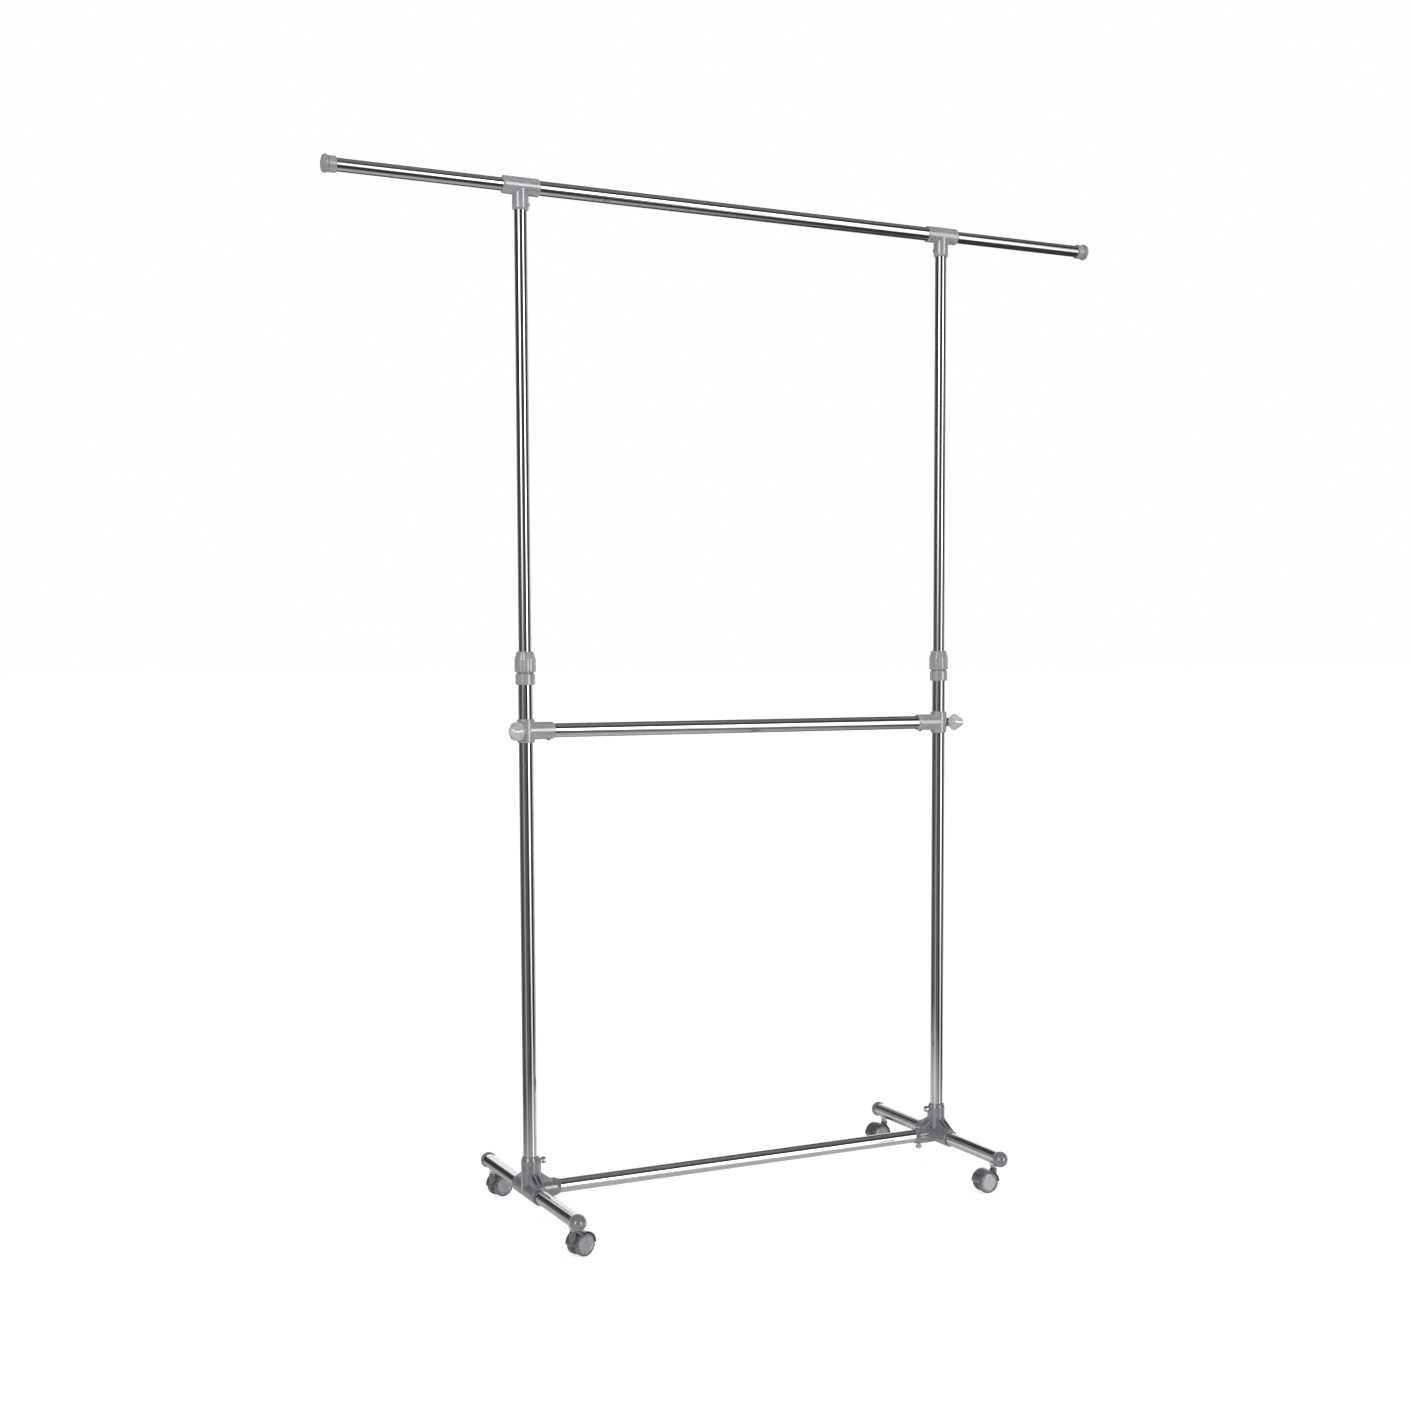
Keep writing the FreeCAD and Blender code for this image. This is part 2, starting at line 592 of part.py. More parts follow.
def lock_nut(label, side):
    """Fluted nut that turns on the split thread."""
    body = new_body(label)
    bore = "lock_thread_radius + nut_wall_gap"
    mouth = "small_tube_radius + slide_gap"
    chamber = "lock_thread_length + end_gap"
    turn(body, "turned", "XZ_Plane", "V", [
        (bore, "0"), ("nut_radius - nut_edge", "0"), ("nut_radius", "nut_edge"),
        ("nut_radius", "nut_length - nut_taper"),
        ("nut_top_radius + nut_top_edge", "nut_length - nut_top_edge"),
        ("nut_top_radius", "nut_length"), (mouth, "nut_length"), (mouth, chamber), (bore, chamber)])
    flute = hole(body, "flute", "XY_Plane", "nut_flute_radius",
                 ("nut_radius + nut_flute_radius - nut_flute_depth", "0"), "nut_length + over_cut",
                 reverse=True)
    repeat_round(body, "flutes", flute, "Z_Axis", NUT_FLUTES)
    return place(body, f"{side} * upright_spacing / 2", "0", "lock_height + lock_dark_gap + slide_gap")


# ---- Upper frame: upper uprights, tees and top rail ----

def upper_upright(label, side):
    """Upper tube of an upright, with a hole for the tee's screw."""
    length = "(rack_height - tee_radius - tee_web - end_gap - lock_height + upright_overlap)"
    body = tube(label, "XY_Plane", "small_tube_radius", length)
    hole(body, "screw_hole", "YZ_Plane", "screw_shank_radius + fit_gap",
         ("0", f"{length} / 2 + tee_web + end_gap - tee_screw_drop"), "small_tube_radius + over_cut",
         reverse=True)
    return place(body, f"{side} * upright_spacing / 2", "0",
                 f"lock_height - upright_overlap + {length} / 2", faces_inwards(side))


def top_tee(label, side):
    """Tee with a sleeve round the top rail and a leg round the upright."""
    body = new_body(label)
    rim = "tee_radius - tee_edge"
    turn(body, "sleeve", "XZ_Plane", "H", [
        ("-tee_half_length", "0"), ("-tee_half_length", rim), ("tee_edge - tee_half_length", "tee_radius"),
        ("tee_half_length - tee_edge", "tee_radius"), ("tee_half_length", rim), ("tee_half_length", "0")])
    turn(body, "leg", "XZ_Plane", "V", [
        ("0", "0"), ("tee_leg_radius", "0"), ("tee_leg_radius", "tee_leg_taper - tee_leg_length"),
        ("tee_leg_radius - tee_edge", "-tee_leg_length"), ("0", "-tee_leg_length")])
    rail_bore = "big_tube_radius + fit_gap"
    cut_out(body, "rail_bore", circle(body, "YZ_Plane", "rail_ring", rail_bore),
            "2 * (tee_half_length + over_cut)")
    leg_bore = "small_tube_radius + fit_gap"
    turn(body, "leg_bore", "XZ_Plane", "V", [
        ("0", "-tee_web"), (leg_bore, "-tee_web"), (leg_bore, "-tee_leg_length - over_cut"),
        ("0", "-tee_leg_length - over_cut")], cut=True)
    hole(body, "screw_hole", "YZ_Plane", "screw_shank_radius + fit_gap", ("0", "-tee_screw_drop"),
         "tee_leg_radius + over_cut", reverse=True)
    return place(body, f"{side} * upright_spacing / 2", "0", "rack_height - tee_radius",
                 faces_inwards(side))


def top_rail():
    """Rail through both tees, up to the guide bushes in their outer mouths."""
    length = "upright_spacing + 2 * (tee_half_length - bush_length - seat_gap)"
    body = tube("top_rail", "YZ_Plane", "big_tube_radius", length)
    return place(body, "0", "0", "rack_height - tee_radius")


def ring(name, inner, outer, length):
    """A plain bush along X, from the origin."""
    body = new_body(name, export=False)
    turn(body, "ring", "XZ_Plane", "H", [("0", inner), ("0", outer), (length, outer), (length, inner)])
    return body


def rail_guide_bushes():
    """Bushes that guide the extensions out of the top rail."""
    members = []
    for name, side in SIDES.items():
        body = ring(f"{name}_guide_bush", "small_tube_radius + slide_gap", "big_tube_radius", "bush_length")
        members.append(place(body, f"{side} * (upright_spacing / 2 + tee_half_length)", "0",
                             "rack_height - tee_radius", faces_inwards(side)))
    return group("rail_guide_bushes", members)


def small_screw(name):
    """Pan-headed screw; its seat is at the origin and its head points up."""
    body = new_body(name, export=False)
    turn(body, "screw", "XZ_Plane", "V", [
        ("0", "-screw_shank_length"), ("screw_shank_radius", "-screw_shank_length"),
        ("screw_shank_radius", "0"),
        ("screw_head_radius", "0"), ("screw_head_radius", "screw_head_length"), ("0", "screw_head_length")])
    top = size_of("screw_head_length")
    round_rims(body, "head_round", "screw_head_round", lambda centre, radius: centre.z > top - NEAR)
    return body


def tee_screws():
    """The screw through the leg of each tee."""
    members = []
    for name, side in SIDES.items():
        body = small_screw(f"{name}_tee_screw")
        pointing_in = FreeCAD.Rotation(FreeCAD.Vector(0, 1, 0), -90 * side)
        members.append(place(body, f"{side} * (upright_spacing / 2 - tee_leg_radius - seat_gap)", "0",
                             "rack_height - tee_radius - tee_screw_drop", pointing_in))
    return group("tee_screws", members)


def end_plug(name, export):
    """Plug for a small tube: a flange below the origin and a spigot above it."""
    body = new_body(name, export)
    flange = "small_tube_radius + plug_flange_lip"
    spigot = "small_tube_radius - tube_wall - fit_gap"
    turn(body, "plug", "XZ_Plane", "V", [
        ("0", "-plug_flange_length"), (f"{flange} - plug_edge", "-plug_flange_length"),
        (flange, "plug_edge - plug_flange_length"), (flange, "0"), (spigot, "0"),
        (spigot, "plug_spigot_length"), ("0", "plug_spigot_length")])
    return body


def upright_end_plugs():
    """Plugs on the lower ends of the upper uprights, which guide them in the lower ones."""
    members = []
    for name, side in SIDES.items():
        members.append(place(end_plug(f"{name}_upright_plug", False), f"{side} * upright_spacing / 2", "0",
                             "lock_height - upright_overlap - seat_gap"))
    return group("upright_end_plugs", members)


# ---- Extensions of the top rail ----

def extension_tube(label, side):
    """Tube that slides out of the top rail."""
    start = "upright_spacing / 2 + tee_half_length - rail_overlap"
    end = "rack_length / 2 - cap_length + cap_bore_depth - seat_gap"
    body = tube(label, "YZ_Plane", "small_tube_radius", f"{end} - ({start})")
    return place(body, f"{side} * ({start} + {end}) / 2", "0", "rack_height - tee_radius")


def extension_stop(label, side):
    """Plug on the inner end of an extension."""
    body = end_plug(label, True)
    outwards = FreeCAD.Rotation(FreeCAD.Vector(0, 1, 0), 90 * side)
    return place(body, f"{side} * (upright_spacing / 2 + tee_half_length - rail_overlap - seat_gap)", "0",
                 "rack_height - tee_radius", outwards)


def end_cap(label, side):
    """Domed cap that stops clothes and closes the tube."""
    body = new_body(label)
    bore = "small_tube_radius + fit_gap"
    disc_start = "cap_length - cap_disc_length"
    groove_start = f"{disc_start} - cap_groove_length"
    turn(body, "turned", "XZ_Plane", "H", [
        ("0", bore), ("0", "cap_collar_radius - cap_edge"), ("cap_edge", "cap_collar_radius"),
        (groove_start, "cap_collar_radius"), (groove_start, "cap_groove_radius"),
        (disc_start, "cap_groove_radius"), (disc_start, "cap_disc_radius"),
        ("cap_length", "cap_disc_radius"), ("cap_length", "0"), ("cap_bore_depth", "0"),
        ("cap_bore_depth", bore)])
    face = size_of("cap_length")
    back = size_of(disc_start)
    wide = size_of("cap_disc_radius")
    round_rims(body, "dome", "cap_dome", lambda centre, radius: centre.x > face - NEAR)
    round_rims(body, "back_round", "cap_back_round",
               lambda centre, radius: radius > wide - NEAR and centre.x < back + NEAR)
    return place(body, f"{side} * (rack_length / 2 - cap_length)", "0", "rack_height - tee_radius",
                 turned_about_z(0 if side == RIGHT else 180))


# ---- Lower hanging rail on its clamps ----

def knob_heading(side):
    """Direction of a clamp knob in the rack's frame, in degrees from +X."""
    tilt = math.radians(size_of("knob_angle"))
    return math.degrees(math.atan2(-math.cos(tilt), side * math.sin(tilt)))


def mid_rail():
    """Lower hanging rail, with a hole under each end for the socket's screw."""
    body = tube("mid_rail", "YZ_Plane", "big_tube_radius",
                "upright_spacing - 2 * (clamp_web + end_gap)")
    for name, side in SIDES.items():
        hole(body, f"{name}_screw_hole", "XY_Plane", "screw_shank_radius + fit_gap",
             (f"{side} * (upright_spacing / 2 - clamp_screw_reach)", "0"), "big_tube_radius + over_cut")
    return place(body, "0", "0", "mid_rail_height")


def rail_clamp(label, side):
    """Collar that slides on the upright, with the rail's socket and the knob's seat."""
    body = new_body(label)
    half = "clamp_length / 2"
    turn(body, "collar", "XZ_Plane", "V", [
        ("0", f"-{half}"), ("clamp_radius - clamp_edge", f"-{half}"),
        ("clamp_radius", f"clamp_edge - {half}"), ("clamp_radius", f"{half} - clamp_edge"),
        ("clamp_radius - clamp_edge", half), ("0", half)])
    turn(body, "socket", "XZ_Plane", "H", [
        ("0", "0"), ("0", "clamp_socket_radius"),
        ("clamp_socket_reach - clamp_edge", "clamp_socket_radius"),
        ("clamp_socket_reach", "clamp_socket_radius - clamp_edge"), ("clamp_socket_reach", "0")])
    heading = knob_heading(side) - (0 if side == LEFT else 180)
    turn(body, "knob_seat", "XZ_Plane", "H", [
        ("0", "0"), ("0", "clamp_boss_radius"), ("clamp_boss_reach", "clamp_boss_radius"),
        ("clamp_boss_reach", "0")], turn_degrees=heading)
    turn(body, "upright_bore", "XZ_Plane", "V", [
        ("0", "-clamp_length"), ("big_tube_radius + slide_gap", "-clamp_length"),
        ("big_tube_radius + slide_gap", "clamp_length"), ("0", "clamp_length")], cut=True)
    bore = "big_tube_radius + fit_gap"
    turn(body, "rail_bore", "XZ_Plane", "H", [
        ("clamp_web", "0"), ("clamp_web", bore), ("clamp_socket_reach + over_cut", bore),
        ("clamp_socket_reach + over_cut", "0")], cut=True)
    seat = "insert_radius + fit_gap"
    hollow = "stud_radius + slide_gap"
    turn(body, "insert_seat", "XZ_Plane", "H", [
        ("0", "0"), ("0", hollow), ("insert_reach - seat_gap", hollow), ("insert_reach - seat_gap", seat),
        ("clamp_boss_reach + over_cut", seat), ("clamp_boss_reach + over_cut", "0")],
        cut=True, turn_degrees=heading)
    hole(body, "screw_hole", "XY_Plane", "screw_shank_radius + fit_gap", ("clamp_screw_reach", "0"),
         "clamp_socket_radius + over_cut")
    return place(body, f"{side} * upright_spacing / 2", "0", "mid_rail_height", faces_inwards(side))


def clamp_socket_screws():
    """The screw under each socket of the lower hanging rail."""
    members = []
    for name, side in SIDES.items():
        body = small_screw(f"{name}_socket_screw")
        pointing_down = FreeCAD.Rotation(FreeCAD.Vector(1, 0, 0), 180)
        members.append(place(body, f"{side} * (upright_spacing / 2 - clamp_screw_reach)", "0",
                             "mid_rail_height - clamp_socket_radius - seat_gap", pointing_down))
    return group("clamp_socket_screws", members)


def clamp_inserts():
    """Hexagonal threaded inserts that hold the knobs' studs."""
    members = []
    for name, side in SIDES.items():
        body = new_body(f"{name}_insert", export=False)
        corners = []
        for corner in range(HEXAGON):
            degrees = 360 / HEXAGON * corner
            corners.append((f"cos({degrees}) * insert_radius", f"sin({degrees}) * insert_radius"))
        flats = outline(body, "YZ_Plane", "flats", corners)
        block(body, "hexagon", flats, "insert_length", symmetric=False)
        cut_out(body, "thread", circle(body, "YZ_Plane", "thread_ring", "stud_radius + slide_gap"),
                "3 * insert_length")
        body.Placement = knob_placement(side, "insert_reach")
        members.append(body)
    return group("clamp_inserts", members)


def knob_placement(side, reach="0"):
    """Frame of a clamp knob: +X along its axis, at a distance from the upright axis."""
    turned = turned_about_z(knob_heading(side))
    axis_point = FreeCAD.Vector(side * size_of("upright_spacing / 2"), 0, size_of("mid_rail_height"))
    return FreeCAD.Placement(axis_point + turned.multVec(FreeCAD.Vector(size_of(reach), 0, 0)), turned)


def clamp_stud(label, side):
    """Threaded stud of a knob, with its dark washer."""
    body = new_body(label)
    washer_start = "knob_base_reach - washer_length - seat_gap"
    washer_end = "knob_base_reach - seat_gap"
    turn(body, "turned", "XZ_Plane", "H", [
        ("stud_reach", "0"), ("stud_reach", "stud_radius"), (washer_start, "stud_radius"),
        (washer_start, "washer_radius"), (washer_end, "washer_radius"), (washer_end, "stud_radius"),
        ("knob_shoulder_reach", "stud_radius"), ("knob_shoulder_reach", "0")])
    body.Placement = knob_placement(side)
    return body


def clamp_knob(label, side):
    """Lobed hand knob that swells from its base and narrows to a blunt nose."""
    body = new_body(label)
    bore = "stud_radius + fit_gap"
    turn(body, "turned", "XZ_Plane", "H", [
        ("knob_base_reach", bore), ("knob_base_reach", "knob_base_radius"),
        ("knob_wide_reach - knob_rim_width", "knob_wide_radius - knob_rim_drop"),
        ("knob_wide_reach", "knob_wide_radius"), ("knob_shoulder_reach", "knob_shoulder_radius"),
        ("knob_end_reach - knob_nose_edge", "knob_nose_radius"),
        ("knob_end_reach", "knob_nose_radius - knob_nose_edge"), ("knob_end_reach", "0"),
        ("knob_shoulder_reach + seat_gap", "0"), ("knob_shoulder_reach + seat_gap", bore)])
    hollow = hole(body, "hollow", "YZ_Plane", "knob_flute_radius",
                  ("knob_wide_radius + knob_flute_radius - knob_flute_depth", "0"),
                  "knob_end_reach + over_cut", reverse=True)
    repeat_round(body, "hollows", hollow, "X_Axis", KNOB_LOBES)
    body.Placement = knob_placement(side)
    return body


# ---- Twin-wheel casters ----

def caster_frame(corner, trail="0", height="0", half_turn=0):
    """Frame of a caster: +X along its trail, moved back by the trail and up by the height."""
    end, side_name = corner.split("_")
    turned = turned_about_z(CASTER_TURN[corner])
    swivel = FreeCAD.Vector(SIDES[side_name] * size_of("upright_spacing / 2"),
                            CASTER_ENDS[end] * size_of(STEM_PLACE), 0)
    offset = turned.multVec(FreeCAD.Vector(size_of(trail), 0, size_of(height)))
    return FreeCAD.Placement(swivel + offset, turned * turned_about_z(half_turn))


def caster_sockets():
    """Sleeves in the foot tubes that take the casters' stems."""
    members = []
    for corner in CASTER_TURN:
        body = new_body(f"{corner}_socket", export=False)
        bore = "stem_radius + stem_gap"
        flange_top = "foot_axis_height - big_tube_radius - fit_gap"
        turn(body, "sleeve", "XZ_Plane", "V", [
            (bore, f"{flange_top} - socket_flange_length"),
            ("socket_flange_radius", f"{flange_top} - socket_flange_length"),
            ("socket_flange_radius", flange_top), (SOCKET_RADIUS, flange_top),
            (SOCKET_RADIUS, "socket_top"), (bore, "socket_top")])
        body.Placement = caster_frame(corner)
        members.append(body)
    return group("caster_sockets", members)


def caster_stem(label, corner):
    """Steel swivel stem with its collar."""
    body = new_body(label)
    collar_top = "stem_collar_bottom + stem_collar_length"
    turn(body, "turned", "XZ_Plane", "V", [
        ("0", "stem_bottom"), ("stem_radius", "stem_bottom"), ("stem_radius", "stem_collar_bottom"),
        ("stem_collar_radius", "stem_collar_bottom"), ("stem_collar_radius", collar_top),
        ("stem_radius", collar_top), ("stem_radius", "stem_top"), ("0", "stem_top")])
    body.Placement = caster_frame(corner)
    return body


def caster_hood(label, corner):
    """Hood: a half drum hollowed for the two wheels, a middle web and the stem's boss."""
    body = new_body(label)
    axle = ("caster_trail", "wheel_radius")
    reach = "(hood_radius + over_cut)"
    across = "2 * (hood_half_width + over_cut)"
    block(body, "drum", circle(body, "XZ_Plane", "drum_ring", "hood_radius", axle), "2 * hood_half_width")
    under = outline(body, "XZ_Plane", "under", [
        (f"caster_trail - {reach}", "-hood_radius"), (f"caster_trail + {reach}", "-hood_radius"),
        (f"caster_trail + {reach}", "wheel_radius"), (f"caster_trail - {reach}", "wheel_radius")])
    cut_out(body, "open_below", under, across)
    block(body, "web", circle(body, "XZ_Plane", "web_ring", "hood_web_radius", axle), "2 * hood_web_half")
    turn(body, "boss", "XZ_Plane", "V", [
        ("0", "hood_boss_bottom"), ("hood_boss_radius", "hood_boss_bottom"),
        ("hood_boss_radius", "hood_boss_top - hood_boss_edge"),
        ("hood_boss_radius - hood_boss_edge", "hood_boss_top"), ("0", "hood_boss_top")])
    well = "wheel_radius + hood_wall_gap"
    for name, sign in (("front", "-1"), ("rear", "1")):
        middle = f"{sign} * (hood_web_half + hood_half_width / 2)"
        sketch = new_sketch(body, "XZ_Plane", f"{name}_well", middle)
        add_circle(sketch, well, axle)
        cut_out(body, f"{name}_well_cut", sketch, "hood_half_width")
    cut_out(body, "axle_bore", circle(body, "XZ_Plane", "axle_ring", "axle_radius + fit_gap", axle),
            across)
    bore = "stem_radius + fit_gap"
    turn(body, "stem_bore", "XZ_Plane", "V", [
        ("0", "stem_bottom - seat_gap"), (bore, "stem_bottom - seat_gap"),
        (bore, "hood_boss_top + over_cut"), ("0", "hood_boss_top + over_cut")], cut=True)
    body.Placement = caster_frame(corner)
    return body


def caster_axle(label, corner):
    """Steel axle through the hood's web."""
    body = new_body(label)
    block(body, "pin", circle(body, "XZ_Plane", "pin_ring", "axle_radius"), "2 * axle_half")
    body.Placement = caster_frame(corner, "caster_trail", "wheel_radius")
    return body


def caster_wheel(label, corner, half_turn):
    """One wheel: a hub with a raised disc on its outer face, and a tyre as a second solid."""
    hub = new_body(f"{label}_hub", export=False)
    rim = "wheel_radius - tyre_depth"
    outer_face = "wheel_inner_face + wheel_width"
    bore = "axle_radius + fit_gap"
    ring = "wheel_hub_radius + wheel_dish_width"
    blind = "axle_half + seat_gap"
    turn(hub, "turned", "XY_Plane", "V", [
        (bore, "wheel_inner_face"), (rim, "wheel_inner_face"), (rim, f"{outer_face} - wheel_step"),
        (ring, f"{outer_face} - wheel_step"), (ring, f"{outer_face} - wheel_dish"),
        ("wheel_hub_radius", f"{outer_face} - wheel_dish"),
        ("wheel_hub_radius", f"{outer_face} - wheel_disc_edge"),
        ("wheel_hub_radius - wheel_disc_edge", outer_face), ("0", outer_face), ("0", blind), (bore, blind)])
    tyre = new_body(f"{label}_tyre", export=False)
    seat = f"{rim} + fit_gap"
    inner_side = "wheel_inner_face + tyre_inset"
    outer_side = f"{outer_face} - wheel_step - tyre_inset"
    turn(tyre, "turned", "XY_Plane", "V", [
        (seat, inner_side), ("wheel_radius - tyre_edge", inner_side),
        ("wheel_radius", f"{inner_side} + tyre_shoulder"),
        ("wheel_radius", f"{outer_side} - tyre_shoulder"),
        ("wheel_radius - tyre_edge", outer_side), (seat, outer_side)])
    for body in (hub, tyre):
        body.Placement = caster_frame(corner, "caster_trail", "wheel_radius", half_turn)
    return group(label, [hub, tyre])


def build_rack():
    """Build every piece, one node each."""
    for name, side in SIDES.items():
        base_connector(f"{name}_base_connector", side)
        foot_tube(f"{name}_foot_tube", side)
        foot_caps(f"{name}_foot_caps", side)
        lower_upright(f"{name}_lower_upright", side)
        lock_body(f"{name}_lock_body", side)
        lock_nut(f"{name}_lock_nut", side)
        upper_upright(f"{name}_upper_upright", side)
        top_tee(f"{name}_top_tee", side)
        extension_tube(f"{name}_extension_tube", side)
        extension_stop(f"{name}_extension_stop", side)
        end_cap(f"{name}_end_cap", side)
        rail_clamp(f"{name}_rail_clamp", side)
        clamp_stud(f"{name}_clamp_stud", side)
        clamp_knob(f"{name}_clamp_knob", side)
    for make in (bottom_rail, upright_screws, rail_screws, caster_sockets, top_rail, tee_screws,
                 upright_end_plugs, rail_guide_bushes, mid_rail, clamp_socket_screws, clamp_inserts):
        make()
    for corner in CASTER_TURN:
        caster_stem(f"{corner}_caster_stem", corner)
        caster_hood(f"{corner}_caster_hood", corner)
        caster_axle(f"{corner}_caster_axle", corner)
        caster_wheel(f"{corner}_wheel_a", corner, 0)
        caster_wheel(f"{corner}_wheel_b", corner, 180)


def check_document():
    """Stop at any failed object, or any piece whose shape isn't sound."""
    doc.recompute()
    for item in doc.Objects:
        if "Invalid" in item.State or "Error" in item.State:
            raise RuntimeError(f"{item.Name} failed: {item.State}")
    for item in exports:
        if item.Shape.isNull() or not item.Shape.isValid():
            raise RuntimeError(f"{item.Label} has no sound shape")


def write_pieces():
    os.makedirs("parts", exist_ok=True)
    for item in exports:
        item.Shape.exportStep(f"parts/{item.Label}.step")


fill_sheet()
build_rack()
check_document()
write_pieces()
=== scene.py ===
"""Looks of a rolling clothes rack: polished tubes, moulded grey plastic, screws and twin-wheel casters.

A profile is a run of corners, each (radius, height, round), turned about an axis. Profiles and the sizes
named beside them are in millimetres, and become metres when a mesh is made. Every place is read from the
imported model's boxes and joints.
"""
import json
import math

import bmesh
import bpy
from mathutils import Matrix, Vector


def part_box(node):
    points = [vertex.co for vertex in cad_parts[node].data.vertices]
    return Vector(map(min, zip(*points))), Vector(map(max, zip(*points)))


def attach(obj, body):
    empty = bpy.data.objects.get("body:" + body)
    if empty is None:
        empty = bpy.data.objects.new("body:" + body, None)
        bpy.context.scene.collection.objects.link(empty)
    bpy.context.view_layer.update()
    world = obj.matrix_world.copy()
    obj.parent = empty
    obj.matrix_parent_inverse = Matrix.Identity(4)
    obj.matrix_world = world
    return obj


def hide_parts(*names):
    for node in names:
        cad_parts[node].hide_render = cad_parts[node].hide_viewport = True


MM = 0.001
SIDES = {"left": -1, "right": 1}
CORNERS = ("front_left", "front_right", "rear_left", "rear_right")

# Turned parts: columns in a full turn, points on each rounded corner, and the gap that is welded, in metres
TURN_STEPS = 96
ARC_STEPS = 5
WELD = 1e-7

# Camera: where the rack is seen from, and how the frame is cropped
CAMERA_PLACE = (-1.576, -3.231, 1.024)
CAMERA_HEADING = 28.977
CAMERA_DROP = 4.267
CAMERA_ROLL = 0.092
CAMERA_LENS = 50.357
CAMERA_SENSOR = 36.0
CAMERA_SHIFT = (-0.1, 0.0581)

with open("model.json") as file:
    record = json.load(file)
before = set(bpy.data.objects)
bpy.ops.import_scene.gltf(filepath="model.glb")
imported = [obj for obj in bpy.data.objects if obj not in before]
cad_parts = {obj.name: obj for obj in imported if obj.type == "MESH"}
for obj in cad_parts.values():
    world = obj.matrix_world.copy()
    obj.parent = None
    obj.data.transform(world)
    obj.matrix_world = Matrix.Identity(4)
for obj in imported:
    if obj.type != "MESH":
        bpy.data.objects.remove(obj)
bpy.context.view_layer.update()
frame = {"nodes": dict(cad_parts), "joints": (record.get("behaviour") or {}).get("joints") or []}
joints = {joint["name"]: joint for joint in frame["joints"]}


# ---- Places ----

def axis_frame(origin, direction):
    """A matrix whose Z axis points along a direction from an origin, both in metres."""
    turn = Vector(direction).to_track_quat("Z", "Y").to_matrix().to_4x4()
    return Matrix.Translation(Vector(origin)) @ turn


def joint_frame(name, sign=1):
    """A matrix at a joint, with Z along its axis, or against it where sign is -1."""
    joint = joints[name]
    return axis_frame(joint["pos_m"], sign * Vector(joint["axis"]))


# ---- Meshes ----

def new_object(name, mesh, material, body, nodes):
    """Link a mesh as a piece of the object that stands for CAD nodes."""
    piece = bpy.data.objects.new(name, mesh)
    bpy.context.scene.collection.objects.link(piece)
    mesh.materials.clear()
    mesh.materials.append(material)
    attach(piece, body)
    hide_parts(*nodes)
    return piece


def rounded(points):
    """Turn (radius, height, round) corners into a smooth run of (radius, height) points."""
    result = []
    count = len(points)
    for i, (r, z, blend) in enumerate(points):
        if blend <= 0 or i in (0, count - 1):
            result.append((r, z))
            continue
        corner = Vector((r, z))
        before = Vector(points[i - 1][:2]) - corner
        after = Vector(points[i + 1][:2]) - corner
        half = before.angle(after) / 2
        reach = min(blend / math.tan(half), 0.48 * before.length, 0.48 * after.length)
        start = corner + before.normalized() * reach
        end = corner + after.normalized() * reach
        for step in range(ARC_STEPS + 1):
            t = step / ARC_STEPS
            point = start * (1 - t) ** 2 + corner * 2 * t * (1 - t) + end * t ** 2
            result.append((point.x, point.y))
    return result


def lathe(bm, profile, place, ring=False, shape=None, steps=TURN_STEPS):
    """Turn a profile about the Z axis of a place; shape(angle, r, z) may change each radius."""
    columns = []
    for step in range(steps):
        angle = 2 * math.pi * step / steps
        column = []
        for r, z in profile:
            radius = shape(angle, r, z) if shape else r
            local = Vector((radius * math.cos(angle), radius * math.sin(angle), z)) * MM
            column.append(bm.verts.new(place @ local))
        columns.append(column)
    rows = len(profile)
    spans = rows if ring else rows - 1
    for step in range(steps):
        left, right = columns[step], columns[(step + 1) % steps]
        for i in range(spans):
            j = (i + 1) % rows
            bm.faces.new((left[i], right[i], right[j], left[j]))


def fluted(angle, r, count, depth, sharpness, root, span):
    """A radius with hollows between round ridges, which fade out over a span down to a root radius."""
    fade = min(1.0, max(0.0, (r - root) / span))
    wave = abs(math.cos(count * angle / 2)) ** sharpness
    return r - depth * fade * (1 - wave)


def thread_cut(angle, z, pitch, depth):
    """How far a thread cuts in at an angle and height."""
    turn = (z / pitch - angle / (2 * math.pi)) % 1.0
    return depth * abs(2 * turn - 1)


def finish_mesh(bm, name):
    """Close a mesh, smooth it and hand it over."""
    bmesh.ops.remove_doubles(bm, verts=bm.verts, dist=WELD)
    bmesh.ops.dissolve_degenerate(bm, edges=bm.edges, dist=WELD)
    bmesh.ops.recalc_face_normals(bm, faces=bm.faces)
    mesh = bpy.data.meshes.new(name)
    bm.to_mesh(mesh)
    bm.free()
    mesh.polygons.foreach_set("use_smooth", [True] * len(mesh.polygons))
    return mesh


def even_normals(piece):
    """Keep flat stretches flat beside small rounds."""
    modifier = piece.modifiers.new("even_normals", "WEIGHTED_NORMAL")
    modifier.keep_sharp = True


def turned_piece(name, parts, material, body, nodes):
    """One piece from one or more lathe calls: (profile, place, ring, shape)."""
    bm = bmesh.new()
    for profile, place, ring, shape in parts:
        lathe(bm, rounded(profile), place, ring, shape)
    mesh = finish_mesh(bm, name)
    even_normals(new_object(name, mesh, material, body, nodes))


# Mouldings: the gap that is welded first, in metres, then how edges are eased and the share of faces kept
MOULD_WELD = 1e-6
MOULD_EASE = 0.5
MOULD_PASSES = 3
MOULD_KEEP = 0.5


